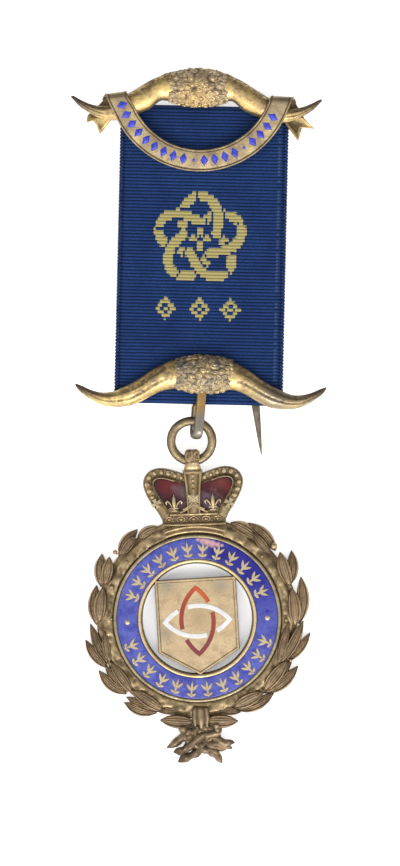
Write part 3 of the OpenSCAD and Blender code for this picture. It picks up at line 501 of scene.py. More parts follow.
def silk(name, first, second, worn, dark, shade):
    # ribbed silk: painted shade between the ribs, threads along them
    f = Finish(bpy.data.materials.new("weave_" + name))
    thread = f.noise(0.2, 2, stretch=(0.45, 1.8, 1))
    colour = f.mix(f.spread(thread, 0.35, 0.65), first, second)
    colour = f.mix(f.spread(f.noise(7.0, 3), 0.4, 0.7, 0, 0.5), colour, worn)
    colour = f.mix(f.spread(f.grime(), 0.15, 0.95, 0, shade), colour, dark)
    rough, height = f.spread(thread, 0.3, 0.7, 0.62, 0.8), thread + f.noise(0.12, 2) * 0.6
    return f.shade(colour, rough, 0.0, height, 0.05, gloss=0.12)


# two colours of thread, the worn colour, the colour of the painted shade, and how strong the painted shade is between
# the ribs
weave = [silk("navy", (22, 50, 104), (46, 78, 136), (22, 48, 98), (2, 12, 38), 1.0),
         silk("motif", (204, 192, 128), (182, 168, 104), (190, 176, 118), (92, 84, 52), 0.75),
         silk("thread", (84, 104, 142), (62, 86, 130), (70, 92, 134), (24, 38, 70), 0.8)]


# horned bars
print("bars")
bars = {
    "top": {"at": jewel["topBar"], "boss": (0.35, -0.3), "span": 57.2, "back": 5.35,
            "flutes": (58, 100, 138), "fluteFrom": 0.68, "fluteDepth": 0.13,
            "horn": [(0, 0, 1.1), (0.22, 0.02, 1.14), (0.29, 0.09, 1.02), (0.37, 0.32, 1.16), (0.46, 0.54, 1.08),
                     (0.53, 0.7, 1.01), (0.61, 0.86, 0.88), (0.69, 0.98, 0.65), (0.77, 0.97, 0.52),
                     (0.85, 0.85, 0.39), (0.93, 0.65, 0.3), (0.975, 0.49, 0.19), (1.00, 0.42, 0.07)]},
    "lower": {"at": jewel["lowerBar"], "boss": (0.55, 0.0), "span": 57.3, "back": 4.5,
              "flutes": (60, 104), "fluteFrom": 0.26, "fluteDepth": 0.1,
              "horn": [(0, 0, 1.1), (0.2, 0.00, 1.2), (0.31, 0.14, 1.1), (0.39, 0.33, 1.08), (0.47, 0.56, 1.01),
                       (0.55, 0.75, 0.93), (0.63, 0.87, 0.79), (0.71, 0.95, 0.61), (0.79, 0.93, 0.51),
                       (0.87, 0.8, 0.4), (0.95, 0.6, 0.3), (0.985, 0.49, 0.18), (1.00, 0.42, 0.07)]}}
horn = {"relief": 3.0, "height": 5.6, "dip": 6.3, "sides": 45}
boss = {"length": 13.6, "height": 9.5, "relief": 4.4, "wool": 0.68, "tuft": 1.25, "waist": 0.3,
        "columns": 170, "rows": 150}
# the sections of both are arches that go on 20 degrees below their middle, down to a flat back
below = 20
sunk = math.sin(math.radians(below))


def arch(count):
    return np.radians(np.linspace(-below, 180 + below, count))


def horns(shape, bar):
    # place along the bar, dip and size of every section
    side = catmull(bar["horn"], 8)
    place, dip, size = np.vstack([side[:0:-1] * (-1, 1, 1), side]).T[..., None]
    a = arch(horn["sides"])
    deg = np.degrees(a)
    reach = unit((np.abs(place) - bar["fluteFrom"]) / 0.08)
    flute = sum(bump(deg, f + 6 * np.sin(9 * place), 7.5) for f in bar["flutes"]) * reach
    s = 1 - bar["fluteDepth"] * flute + 0.012 * cloud(grid(place * 28, deg / 14), 1.3)
    rows = grid(bar["at"][0] + place * bar["span"] / 2,
                bar["at"][1] - dip * horn["dip"] + size * horn["height"] / 2 * s * np.cos(a),
                bar["back"] + np.minimum(1, size) * horn["relief"] * (s * np.sin(a) + sunk) / (1 + sunk))
    # darker upper side: brown tarnish and painted shade; painted shade on the steep top and bottom edges, in the
    # flutes and below the back; grey tarnish at the tips
    upper = unit(1.6 * np.cos(a) + 0.1) * 0.75 + 6 * unit(np.abs(np.cos(a)) - 0.9)
    tip = unit((np.abs(place) - 0.8) / 0.2) * 0.75
    shape.loft(rows, unit(flute * 0.75 + upper + tip + 0.8 * (np.sin(a) < -0.2)))


def wool(shape, bar):
    u, a = np.linspace(-1, 1, boss["columns"])[:, None], arch(boss["rows"])
    s = 1 - boss["waist"] * u ** 2
    half, relief = boss["height"] / 2 - 0.6 * boss["wool"], boss["relief"] - 0.6 * boss["wool"]
    tufts = grid(u * boss["length"] / 2, a * half) / boss["tuft"]
    h = curls(tufts + (50.3 + bar["at"][1], 40.7)) + 0.05 * cloud(tufts, 0.3, 3.0)
    lift = boss["wool"] * (np.clip(h, -0.1, 1.05) - 0.4)
    lift[:, :2] = lift[:, -2:] = -0.3
    rows = grid(bar["at"][0] + bar["boss"][0] + u * boss["length"] / 2,
                bar["at"][1] + bar["boss"][1] + (half * s + lift) * np.cos(a),
                bar["back"] + (relief * s + lift) * (np.sin(a) + sunk) / (1 + sunk))
    # darker between the tufts (tarnish with painted shade) and painted shade on the upper side
    shape.loft(rows, unit(1.0 - 1.5 * h + 0.3 * unit(np.cos(a))))


for key, bar in bars.items():
    shape = Shape()
    horns(shape, bar)
    shape.build(key + "Horns", gold["bars"], "gilt_bars", replaces=(key + "_bar",))
    shape = Shape()
    wool(shape, bar)
    shape.build(key + "Wool", gold["wool" if key == "top" else "darkWool"], "gilt_bars", crease=180)

# ribbon rod with its two posts, and the pin's seat: a block's low corner and high corner
fittings = {"postX": 15.785, "rodY": 68.686, "post": 0.4, "postTop": 6.2, "over": 0.8, "rodHalf": 0.6,
            "rodLow": 2.325, "rodHigh": 3.125,
            "seat": [((-0.6, -0.72, 0), (0.6, 0.87, 0.24)), ((-0.6, -0.72, 0.96), (0.6, 0.87, 1.14)),
                     ((-0.6, 0.36, 0.2), (0.6, 0.87, 1.1))]}
f = fittings
left, right = ((jewel["topBar"][0] + side * f["postX"], f["rodY"]) for side in (-1, 1))
shape = Shape()
shape.blocks(left, [((-f["over"], -f["rodHalf"], f["rodLow"]),
                     (2 * f["postX"] + f["over"], f["rodHalf"], f["rodHigh"]))])
for at, low in ((left, 0.02), (right, 0.95)):
    shape.lathe(at, [(f["post"], low), (f["post"], f["postTop"])], 20)
shape.blocks(right, f["seat"], 0.04)
shape.build("topFittings", gold["bars"], "gilt_bars")

brooch = {"z": 0.6, "hub": [(0.55, 0.25), (0.98, 0.27), (1.0, 0.35), (1.0, 0.85), (0.98, 0.93), (0.55, 0.95)],
          "shank": [(0.8, 0.3), (8, 0.3), (20, 0.3), (29.4, 0.3), (30.6, 0.24), (31.6, 0.15), (33.1, 0.04)]}
shape = Shape()
shape.lathe(left, brooch["hub"])
reach, radius = np.array(brooch["shank"]).T
shape.tube(grid(left[0] + reach, left[1], brooch["z"]), radius, 14)
shape.build("broochPin", gold["steel"], "steel", replaces=("brooch_pin",))

# scroll hung across the horns: side, top, outer and inner edge, rise, and the corners of its tail, in radii
print("scroll")
scroll = {"r": 18.9, "w": 4.8, "t": 0.6, "rim": 0.15, "lean": 15.6, "back": 4.75, "low": 55.561, "wrap": 1.3,
          "tailZ": 4.5, "drift": 0.075, "curl": 0.3,
          "ends": [(-1, -0.182, 1.11, 0.86, 0.036,
                    [(1.354, -0.476), (1.37, -0.566), (1.254, -0.529), (1.206, -0.709), (1.063, -0.519)]),
                   (1, -0.211, 1.09, 0.825, 0.01,
                    [(1.265, -0.478), (1.385, -0.6), (1.206, -0.58), (1.19, -0.751), (1.021, -0.524)])],
          "edge": [(0.07, 0.11), (0.2, 0.15), (0.36, 0.11), (0.44, -0.04), (0.58, 0), (0.75, 0.03)],
          # darkening at each point of the strip's section: painted shade inside the rims and on the back
          "grime": [0.7, 0.7, 0.4, 0, 0, 0.5, 1, 0.75, 0.12, 0.05, 0.12, 0.75, 1, 0.5, 0, 0, 0.4]}
scrollX, scrollY = jewel["scroll"]
lean = math.radians(scroll["lean"])


def onScroll(x, y):
    # a place in the leaning plane of the scroll's front
    return grid(scrollX + x, scrollY + y, scroll["back"] + (scrollY + y - scroll["low"]) * math.tan(lean))


def scrollFold(side, top, outer, inner, rise, tail):
    # outer edge, inner edge and outward direction from the front, over the horn, to the tail behind it
    r, half = scroll["r"], scroll["t"] / 2
    rise *= r / 2
    y0 = scrollY + top * r - half - scroll["rim"] - rise - scroll["wrap"]
    front, behind = onScroll(0, y0 - scrollY)[2], scroll["tailZ"] + half
    rows = []
    for t in np.linspace(0, math.pi, 17):
        y, z = y0 + scroll["wrap"] * squared(math.sin(t), 0.5), squared(math.cos(t), 0.5)
        z, go = (front + behind) / 2 + (front - behind) / 2 * z, scroll["drift"] * t / math.pi
        rows.append(((scrollX + side * (outer + go) * r, y - rise, z),
                     (scrollX + side * (inner + go) * r, y + rise, z), (0, math.sin(t), math.cos(t))))
    ends = [(scrollX + side * tail[i][0] * r, scrollY + tail[i][1] * r, behind) for i in (0, 4)]
    return rows + [(*ends, (0, 0, -1))]


def stripRow(*places):
    # section of the strip: flat behind, with raised rims and a low middle in front
    outer, inner, normal = np.array(places, float)
    width, half = np.linalg.norm(inner - outer), scroll["t"] / 2
    edge = [(w, half + h) for w, h in scroll["edge"]]
    spots = ([(0, -half), (width, -half), (width, half)] + [(width - w, h) for w, h in edge]
             + [(width / 2, half + 0.03)] + edge[::-1] + [(0, half)])
    return [outer + (inner - outer) / width * w + normal * h for w, h in spots]


keys = [stripRow(*row) for row in scrollFold(*scroll["ends"][0])[::-1]]
for a in np.arange(205, 336, 3.25):
    edges = [onScroll(*ray(a, scroll["r"] + side * scroll["w"] / 2)) for side in (1, -1)]
    keys.append(stripRow(*edges, (0, -math.sin(lean), math.cos(lean))))
keys += [stripRow(*row) for row in scrollFold(*scroll["ends"][1])]
rows = catmull(np.reshape(keys, (len(keys), -1)), 4).reshape(-1, len(scroll["grime"]), 3)
rows[..., 2] += 0.03 * cloud(rows[..., :2], 2.2)
shape = Shape()
shape.loft(rows, scroll["grime"])
shape.build("scrollStrip", gold["scroll"], "gilt_scroll", replaces=("scroll",), crease=40)

shape = Shape()
u, t = np.linspace(0, 1, 25), np.linspace(-0.12, 1, 15)[:, None]
rim = sum(bump(u, v, 0.06) for v in (0.07, 0.93)) + bump(t, 0.95, 0.08)
for side, *edges, tail in scroll["ends"]:
    c = np.array(tail) * (side * scroll["r"], scroll["r"]) + jewel["scroll"]
    lines = [c[0] + (c[1] - c[0]) * t, (c[0] + c[4]) / 2 * (1 - t) + c[2] * t, c[4] + (c[3] - c[4]) * t]
    flat = [follow(u, (0, 0.5, 1), row) for row in np.stack(lines, 1)]
    wave = scroll["curl"] * np.sin(4.2 * u + 1.6 * t + 1.2 * side)
    low = scroll["tailZ"] + wave
    rows = np.concatenate([np.dstack([flat, low]), np.dstack([flat, low + scroll["t"] + 0.16 * rim])[:, ::-1]], 1)
    # painted shade in the troughs of the curl, away from the rims, and on the underside
    dirtAndShade = unit(0.75 - 0.9 * rim - 0.5 * wave / scroll["curl"])
    shape.loft(rows, np.concatenate([np.ones(dirtAndShade.shape), dirtAndShade[:, ::-1]], 1))
shape.build("scrollTails", gold["tail"], "gilt_scroll", crease=50)

# steps are the size, height and darkening (painted shade at the foot) of each level of a lozenge
marks = {"count": 19, "first": 201, "step": 7.25, "small": (9, 14), "dot": 0.4, "long": 1.32, "wide": 0.88,
         "steps": [(1.0, 0.22, 1), (1.0, 0.36, 0.9), (0.93, 0.41, 0.3), (0.6, 0.45, 0), (0.15, 0.455, 0)]}
shape = Shape()
t = circle(24)
lozenge = around(t, (np.abs(np.cos(t)) + np.abs(np.sin(t))) ** -0.93, 0)[:, :2] * (marks["long"], marks["wide"])
for i in range(marks["count"]):
    a = marks["first"] + i * marks["step"]
    centre = ray(a, scroll["r"])
    mark = turned(lozenge * (marks["dot"] if i in marks["small"] else 1), a)
    shape.levels(marks["steps"], lambda grow, h: onScroll(*(centre + mark * grow).T) + (0, 0, h))
shape.build("scrollEnamel", enamel["scroll_blue"], "blue_enamel", replaces=("scroll_enamel",))

# ribbon, doubled, with a loop round the rod at its top
print("ribbon")
ribbon = {"x": 0.97, "lean": 0.45, "width": 38.5, "top": 70.66, "bottom": 2.36, "front": 4.25, "back": 3.25,
          "cloth": 0.34, "rib": 0.755, "ribHigh": 0.08, "ribProfile": [0.0, 0.75, 1.0, 0.9, 0.5], "columns": 86,
          "tooth": 0.19, "wave": 0.05, "loop": 1.525, "loopZ": 2.725, "threadAt": 17.35, "stitchAt": 18.75,
          "threadHalf": 0.24, "selvedge": [0.9, 0.05, 0.6, 0.1]}
motif = {"at": (0.28, 40.1), "ring": 6.9, "swing": 2.9, "stroke": 2.1, "gap": 0.45, "flower": 2.7,
         "devices": [(-7.4, 24.3), (0.4, 24.2), (7.4, 24.1)], "deviceSize": (2.35, 2.55)}


def ribbonPath():
    # middle of the cloth as Y and Z: up the front, round the rod, down the back, and round the fold at the foot
    r, half = ribbon, ribbon["cloth"] / 2
    front, back, turn = r["front"] - half, r["back"] + half, r["loop"] - half
    topY, low, start = r["top"] - r["loop"], r["loopZ"] - turn, r["bottom"] + 1.0
    foot = (front - back) / 2
    loop = [(topY + turn * math.sin(a), r["loopZ"] + turn * math.cos(a)) for a in np.linspace(0, math.pi, 15)]
    fold = [(r["bottom"] + foot + half - foot * math.sin(a), (front + back) / 2 - foot * math.cos(a))
            for a in np.linspace(0, math.pi, 7)]
    drop = [(topY - 0.7, low), (topY - 1.5, low + 0.15), (topY - 2.2, 2.35), (topY - 2.8, back - 0.25),
            (topY - 3.6, back), (topY - 6, back)]
    points = np.array([(start, front), *loop, *drop, (start, back), *fold, (start, front)])
    length = lengths(points)
    steps = np.linspace(0, length[-1], round(length[-1] / r["rib"]) * len(r["ribProfile"]), endpoint=False)
    return follow(steps, length, points), length[-1]


def woven(x, y):
    # where the pale weft shows: a knot of five loops, a flower in it, and three lozenges below
    t = np.linspace(0, 4 * np.pi, 420, endpoint=False)
    radius = motif["ring"] + motif["swing"] * np.cos(2.5 * t)
    over = np.sin(2.5 * t) > 0
    dx, dy = x - motif["at"][0], y - motif["at"][1]
    far = np.hypot(dx[..., None] - radius * np.sin(t), dy[..., None] - radius * np.cos(t))
    upper, lower = far[..., over].min(-1), far[..., ~over].min(-1)
    half = motif["stroke"] / 2
    shown = (upper < half) | ((lower < half) & (upper > half + motif["gap"]))
    away, a = np.hypot(dx, dy), np.arctan2(dy, dx)
    shown |= (away < motif["flower"] * np.abs(np.cos(2 * a))) & (away > 0.7)
    for cx, cy in motif["devices"]:
        d = np.abs(x - cx) / motif["deviceSize"][0] + np.abs(y - cy) / motif["deviceSize"][1]
        shown |= (d < 1) & (d > 0.52) | (d < 0.26)
    return shown


def layer(x, lift):
    # places over the cloth, lifted off its middle line
    return grid(ribbon["x"] + x, *(path[:, k:k + 1] + outwards[:, k:k + 1] * lift for k in (0, 1)))


r = ribbon
path, ribbonLength = ribbonPath()
way = np.roll(path, -1, 0) - np.roll(path, 1, 0)
outwards = quarterTurn(way / np.linalg.norm(way, axis=1)[:, None])
outwards *= np.sign(outwards[0, 1])
number = np.arange(len(path))[:, None]
phase = number % len(r["ribProfile"])
hollow = 1 - np.array(r["ribProfile"])[phase]
u = np.linspace(-1, 1, r["columns"])
edge = r["width"] / 2 - r["tooth"] * (phase < 2)
sway = r["wave"] * cloud(grid(u * edge / 9, path[:, :1] / 14), 1.0, 5.0)
lift = (r["cloth"] / 2 - r["ribHigh"] * hollow + np.minimum(sway, 0)) * np.where(np.abs(u) > 0.992, 0.45, 1)
rows = np.concatenate([layer(u * edge, lift), layer(u[::-12] * edge * 0.998, -r["cloth"] / 2)], 1)
# painted shade between the ribs and on the selvedges
grime = np.zeros(rows.shape[:2])
grime[:, :len(u)] = hollow
grime[:, :4] += r["selvedge"]
grime[:, len(u) - 4:len(u)] += r["selvedge"][::-1]

# which thread each face shows
middle = rows + np.roll(rows, -1, 0)
middle = (middle + np.roll(middle, -1, 1)) / 4
rib, across = np.round(middle[..., 1:2] / r["rib"]), middle[..., 0] - r["x"]
front = (path[:, 1:] > 3.8) & (number < len(path) // 2) & (np.arange(rows.shape[1]) < len(u) - 1)
skew = math.tan(math.radians(r["lean"])) * (middle[..., 1] - r["top"])
slots = (front & woven(middle[..., 0] + skew, rib[..., 0] * r["rib"])).astype(int)
thread = (np.abs(across - r["threadAt"]) < r["threadHalf"]) & (phase >= 2) & (slots == 0) & (lattice(rib) > 0.3)
stitch = (np.abs(np.abs(across) - r["stitchAt"]) < r["threadHalf"]) & (phase >= 3) & (lattice(rib + 5.0) > 0.35)
slots[front & (thread | stitch)] = 2
shape = Shape()
shape.loft(rows, unit(grime), looped=True, slot=slots.reshape(-1))
cloth = shape.build("ribbonCloth", weave, "ribbon_cloth", replaces=("ribbon",), crease=60,
                    place=lambda points: turned(points, -r["lean"], (r["x"], r["top"])))
print("ribbon length", round(ribbonLength, 1), "mm")

# hook, ring, bar pin, rivet and catch
print("hook and ring")
hook = {"root": (1.47, 9.261), "lean": -4, "turn": 14, "bendY": -12.55, "bendZ": 4.15, "mid": 1.75, "top": -2.6,
        "tip": -6.0, "wide": 1.09, "thick": 0.62}
h = hook
a, t = circle(28), np.linspace(0, math.pi, 21)
y = np.concatenate([np.linspace(h["top"], h["bendY"], 9)[:-1], h["bendY"] - h["mid"] * np.sin(t),
                    np.linspace(h["bendY"], h["tip"], 9)[1:]])[:, None]
t = np.concatenate([np.zeros(8), t, np.full(8, math.pi)])[:, None]
grow = np.ones(t.shape)
grow[-2:, 0] = 0.8, 0.6
out = h["thick"] * grow * squared(np.sin(a), 0.8)
z = h["bendZ"] + h["mid"] * np.cos(t) + out * np.cos(t)
x = h["wide"] * grow * squared(np.cos(a), 0.75) + (z - h["bendZ"] - h["mid"]) * math.tan(math.radians(h["turn"]))
rows = turned(grid(x, y - out * np.sin(t), z) + (*h["root"], 0), h["lean"], h["root"])
rows += 0.015 * cloud(rows, 0.8)[..., None]
shape = Shape()
# painted shade on the strip's steep sides and on its lower strand
shape.loft(rows, unit(3 * np.abs(np.cos(a)) - 2 + 0.6 * (rows[..., 2] < 4)))
shape.build("hook", gold["hook"], "gilt_bars", crease=50)

ring = {"middle": 4.69, "wire": 1.03, "hole": 1.12}


def ringRows(t, a, wire):
    # surface of the suspension ring, turned up about its X
    c, s = ray(jewel["ringTilt"])
    x, y, z = np.moveaxis(around(t, ring["middle"] + wire * np.cos(a), wire * np.sin(a)), -1, 0)
    return grid(x, y * c - z * s, y * s + z * c) + jewel["ring"]


t, a = circle(112)[:, None], circle(26)
shape = Shape()
# painted shade on the steep inner and outer sides of the wire
shape.loft(ringRows(t, a, ring["wire"] * (0.98 - 0.02 * cloud(grid(t * 4, a), 1.1))),
           unit(3.2 * np.abs(np.cos(a) + 0.08) - 1.75), looped=True)
shape.build("suspensionRing", gold["ring"], "gilt_bars", replaces=("suspension_ring",), crease=180)

pin = {"angle": 277.5, "z": 0.85,
       "eye": [(0.55, 0.35), (1.15, 0.35), (1.25, 0.45), (1.25, 1.25), (1.15, 1.35), (0.55, 1.35)],
       "shank": [(0.95, 0.66), (2.0, 0.84), (4.5, 0.9), (8, 0.7), (12, 0.44), (15, 0.18), (15.9, 0.04)]}
shape = Shape()
shank = catmull(pin["shank"], 5)
# painted shade along the shank's sides
shape.tube(raised(jewel["hinge"] + ray(pin["angle"]) * shank[:, :1], pin["z"]), shank[:, 1], 18,
           grime=unit(3 * np.abs(np.cos(circle(18))) - 1.9), flat=0.8)
shape.lathe(jewel["hinge"], pin["eye"], 40, looped=True)
shape.build("barPin", gold["steel"], "steel", replaces=("bar_pin",), body="bar_pin")

shape = Shape()
shape.lathe(jewel["hinge"], [(0.4, 0.02), (0.9, 0.02), (1.06, 0.12), (1.06, 0.25), (0.5, 0.26), (0.5, 1.44),
                             (0.94, 1.45), (0.94, 3.12), (0.5, 3.13), (0.5, 5.25)])
shape.build("pinRivet", gold["bars"], "gilt_bars", replaces=("pin_rivet",))

catch = {"along": -13.6, "post": 0.36,
         "blocks": [((-0.7, -0.9, 0.0), (0.7, 1.08, 0.38)), ((-0.7, -0.9, 1.32), (0.7, 1.08, 1.75)),
                    ((-0.7, 0.46, 0.3), (0.7, 1.08, 1.4))]}
catchAt = np.add(jewel["hinge"], (catch["along"], 0))
shape = Shape()
shape.blocks(catchAt, catch["blocks"], 0.05)
shape.lathe(catchAt + (0, catch["post"]), [(0.5, 1.5), (0.5, 5.0)], 24)
shape.build("pinCatch", gold["bars"], "gilt_bars")

# crown over the medallion, in the pendant's own places: Y up its axis, from the medallion's middle
# sections are rows of place across, height and darkening: painted shade in grooves, on steep sides and under rims,
# with tarnish
print("crown")
crown = {"halfW": 11.5, "foot": 21.5, "high": 13.2, "band": 2.3, "pearl": 0.6, "pearlGap": 1.56,
         "arch": [(0.56, 0.13), (0.62, 0.24), (0.82, 0.51), (0.9, 0.73), (0.8, 0.875), (0.56, 0.9), (0.14, 0.78)],
         "section": [(-1, 0.3, 0.9), (1, 0.3, 0.9), (1, 2.35, 0.9), (0.97, 2.8, 0.3), (0.88, 2.98, 0.0),
                     (0.78, 2.86, 0.0), (0.68, 2.45, 1.0), (0.5, 2.34, 0.6), (0.1, 2.34, 0.3), (-0.4, 2.36, 0.3),
                     (-0.66, 2.42, 0.5), (-0.76, 2.62, 0.0), (-0.84, 2.58, 0.2), (-0.91, 2.3, 1)]}
archPath = catmull(np.array(crown["arch"]) * (crown["halfW"], crown["high"]) + (0, crown["foot"]), 10)
archIn = quarterTurn(heading(archPath)) * crown["band"] / 2
archLong = lengths(archPath)
pearlLine = archPath - 0.06 * archIn
w, z, dark = np.array(crown["section"]).T
shape, pearls = Shape(), Shape()
for side in (1, -1):
    rows = grid(side * (archPath[:, :1] + archIn[:, :1] * w), archPath[:, 1:] + archIn[:, 1:] * w, z)
    rows[..., 2] += 0.04 * cloud(rows[..., :2], 0.7)
    shape.loft(rows, dark)
    for s in np.arange(0.9, archLong[-1] - 0.3, crown["pearlGap"]):
        x, y = follow(s, archLong, pearlLine)
        if y > 27.7:
            pearls.ball((side * x, y, 2.5), crown["pearl"] * (1 + 0.12 * math.sin(9 * s + side)), flat=1.05)
shape.plate(np.vstack([archPath - 0.3, (archPath[::-1] - 0.3) * (-1, 1)]), 0.12, 1.34)
shape.cast("crownArches", "crown", replaces=("crown_wreath",))
pearls.cast("crownPearls", "ornament")

post = {"half": [(24.1, 1.5), (27, 1.55), (30, 1.72), (32.5, 2.05), (34.0, 2.3)], "beads": (32.7, 31.6, 30.6, 29.4),
        "section": [(1, 0.4, 0.9), (1, 2.6, 0.4), (0.95, 2.98, 0), (0.82, 3.08, 0), (0.7, 2.92, 0.3),
                    (0.58, 2.6, 1.0), (0.3, 2.66, 0.6), (0, 2.8, 0.3)]}
shape = Shape()
q = np.linspace(34.0, 24.15, 24)[:, None]
w, z, dark = mirrored(post["section"]).T
shape.loft(grid(along(post["half"], q) * w, q, z + 0.3 * bump(q, 32.5, 3) * (z > 1)), dark)
for y in post["beads"]:
    shape.ball((0.0, y, 2.92 + 0.3 * bump(y, 32.5, 3)), 0.42)
shape.cast("crownMiddle", "crown")

ornaments = {"gem": (1.42, 27.35, 1.0), "garland": 24.35, "garlandHigh": 1.75, "fleurHigh": 4.1,
             "fleurs": [(-4.5, 24.5), (4.4, 24.6)],
             "crosses": [(-8.55, 26.5, 28), (8.2, 26.2, -28)], "crossHigh": 2.5,
             "petal": [(0.2, 0, 0.16), (0.9, 0.05, 0.3), (1.8, 0, 0.52), (2.8, 0, 0.46), (3.4, 0, 0.26),
                       (4.0, 0, 0.04)],
             "curl": [(0.15, 0.5), (0.55, 1.2), (1.0, 2.0), (1.45, 2.35), (1.75, 2.05), (1.62, 1.6)],
             "curlWide": [(0, 0.14), (0.4, 0.3), (0.7, 0.26), (1, 0.1)],
             "arm": [(0.1, 0), (0.22, 0.5), (0.0, 0.44), (-0.22, 0.5), (-0.1, 0)]}
shape = Shape()
halfX, gemY, halfY = ornaments["gem"]
signs = np.array([(-1, -1), (1, -1), (1, 1), (-1, 1)])
shape.plate(signs * (halfX, halfY) + (0, gemY), 2.0, 3.1, rim=0.2, sink=0.12)
for x, y in signs:
    shape.tube([(0.1 * x, gemY + 0.08 * y, 3.02), (1.15 * x, gemY + 0.8 * y, 3.05)], 0.14, 8)
x = np.linspace(-1, 1, 21)
for lift, reach in ((0.0, 3.15), (0.62, 2.5)):
    y = ornaments["garland"] + lift + (1 - np.abs(x)) ** 1.5 * ornaments["garlandHigh"]
    shape.tube(grid(x * reach, y, 2.72), 0.24, 10, 0.05, 1.3)
h = ornaments["fleurHigh"] / 4
curl = catmull(ornaments["curl"], 4) * h
thick = along(ornaments["curlWide"], np.linspace(0, 1, len(curl))) * h
up, out, wide = np.array(ornaments["petal"]).T * h
for x, y in ornaments["fleurs"]:
    shape.tube(grid(x + out, y + up, 2.45), wide, 14, 0.05, 1.1)
    for side in (-1, 1):
        shape.tube(raised(curl * (side, 1) + (x, y), 2.4), thick, 10, 0.1, 1.1)
    for reach, rise, z in ((0.95, 0.8, 2.62), (0.6, 0.2, 2.5)):
        shape.tube([(x + side * reach * h, y + rise * h, z) for side in (-1, 1)], 0.2 * h, 10)
for x, y, turn in ornaments["crosses"]:
    for quarter in range(4):
        arm = np.array(ornaments["arm"]) * ornaments["crossHigh"]
        shape.plate(turned(arm, quarter * 90 + turn) + (x, y), 2.3, 3.05, edge=0.08)
shape.cast("crownOrnaments", "ornament")

print("crown band")
band = {"half": 7.15, "section": [
            (21.15, 0.3, 0.9), (24.2, 0.3, 0.9), (24.25, 2.3, 0.3), (24.1, 2.75, 0.0), (23.85, 2.85, 0.0),
            (23.62, 2.72, 0.4), (23.5, 2.4, 1.0), (22.8, 2.32, 0.9), (22.0, 2.32, 0.9), (21.85, 2.42, 1.0),
            (21.72, 2.75, 0.2), (21.5, 2.82, 0.0), (21.3, 2.7, 0.4)],
        "gems": [(-5.7, 0.95, 0.66, 0), (-3.0, 1.05, 0.72, 0), (-0.1, 1.3, 0.92, 1), (2.75, 1.1, 0.74, 0),
                 (5.4, 0.95, 0.66, 0)],
        "gemSteps": [(1.0, -0.1, 1), (1.0, 0.22, 0.5), (0.88, 0.34, 0), (0.72, 0.3, 0.2), (0.62, 0.12, 1),
                     (0.5, 0.2, 0.6), (0.3, 0.42, 0), (0.05, 0.46, 0)]}
# painted shade in the band's grooves and round its gems and beads
shape = Shape()
p = np.linspace(-1, 1, 61)[:, None]
q, z, dark = np.array(band["section"]).T
rows = grid(p * band["half"] * (1 + 0.012 * (q - 21)), q, np.where(z > 1, z - 0.75 * np.abs(p) ** 3, z))
rows[..., 2] += 0.05 * cloud(rows[..., :2], 0.5)
shape.loft(rows, dark)
t = circle(20)
for x, long, wide, square in band["gems"]:
    reach = 1 / (np.abs(np.cos(t)) + np.abs(np.sin(t))) ** 0.95 if square else 1
    low = 2.3 - 0.75 * abs(x / band["half"]) ** 3
    shape.levels(band["gemSteps"], lambda grow, h: around(t, grow * reach, h) * (long, wide, 1) + (x, 22.72, low))
for x in (-4.65, -1.75, 1.3, 4.05):
    for y in (22.25, 23.15):
        shape.ball((x, y, 2.32 - 0.5 * abs(x / band["half"]) ** 3), 0.24, 8, 6)
a = np.radians(np.linspace(71, 109, 40))
for radius, thick, z in ((20.0, 0.5, 2.0), (21.0, 0.36, 2.25)):
    shape.tube(around(a, radius, z), thick, 12, 0.12)
shape.plate(np.vstack([around(a, 19.5, 0), around(a[::-1], 21.6, 0)])[:, :2], 0.15, 2.1, grime=0.4)
shape.cast("crownBand", "crown")

# the orb's sections are height up the pendant, half width, back, front and darkening (painted shade in its grooves
# and on its sides, with tarnish)
orb = {"sections": [
           (38.68, 1.1, 0.5, 3.5, 0.9), (38.5, 1.34, 0.35, 3.8, 0.7), (38.15, 1.58, 0.2, 4.05, 0.6),
           (37.8, 1.72, 0.1, 4.16, 0.5), (37.5, 1.75, 0.1, 4.16, 0.6), (37.2, 1.76, 0.1, 4.16, 0.6),
           (36.9, 1.76, 0.1, 4.16, 0.6), (36.6, 1.74, 0.1, 4.16, 0.6), (36.3, 1.7, 0.08, 4.16, 0.6),
           (35.95, 1.62, 0.08, 4.1, 0.7), (35.7, 1.5, 0.08, 3.95, 1.0), (35.45, 1.6, 0.08, 3.85, 0.3),
           (34.9, 1.78, 0.08, 3.85, 0), (34.3, 1.95, 0.08, 3.72, 0.2), (33.95, 2.0, 0.08, 3.5, 0.9),
           (33.85, 2.18, 0.08, 3.5, 0.5), (33.7, 2.28, 0.08, 3.66, 0), (33.45, 2.3, 0.08, 3.68, 0),
           (33.25, 2.2, 0.08, 3.5, 0.4), (32.9, 2.1, 0.08, 3.2, 0.9)],
       "lines": [[(-1.2, 36.3), (0, 37.2), (-1.1, 38.1)], [(1.2, 36.3), (0.1, 37.2), (1.1, 38.1)],
                 [(-1.5, 36.1), (-1.5, 38.2)], [(1.5, 36.1), (1.5, 38.2)], [(0, 36.2), (0, 38.4)]]}
shape = Shape()
t = circle(72)
y, half, low, high, dark = np.array(orb["sections"]).T[..., None]
rows = grid(half * squared(np.cos(t), 0.42), y, (low + high) / 2 + (high - low) / 2 * squared(np.sin(t), 0.42))
knurl = cloud(rows[..., :2], 0.5, 2.0) * ((rows[..., 1] > 35.9) & (rows[..., 2] > 3.3))
rows[..., 2] += 0.2 * knurl
shape.loft(rows, unit(dark - 0.9 * knurl))
for line in orb["lines"]:
    line = catmull(line, 6) if len(line) > 2 else np.linspace(*line, 8)
    shape.tube(raised(line, 4.16 - 0.5 * unit((np.abs(line[:, 0]) - 1.1) / 0.6) ** 2 - 0.3 * unit(line[:, 1] - 38)),
               0.2, 8)
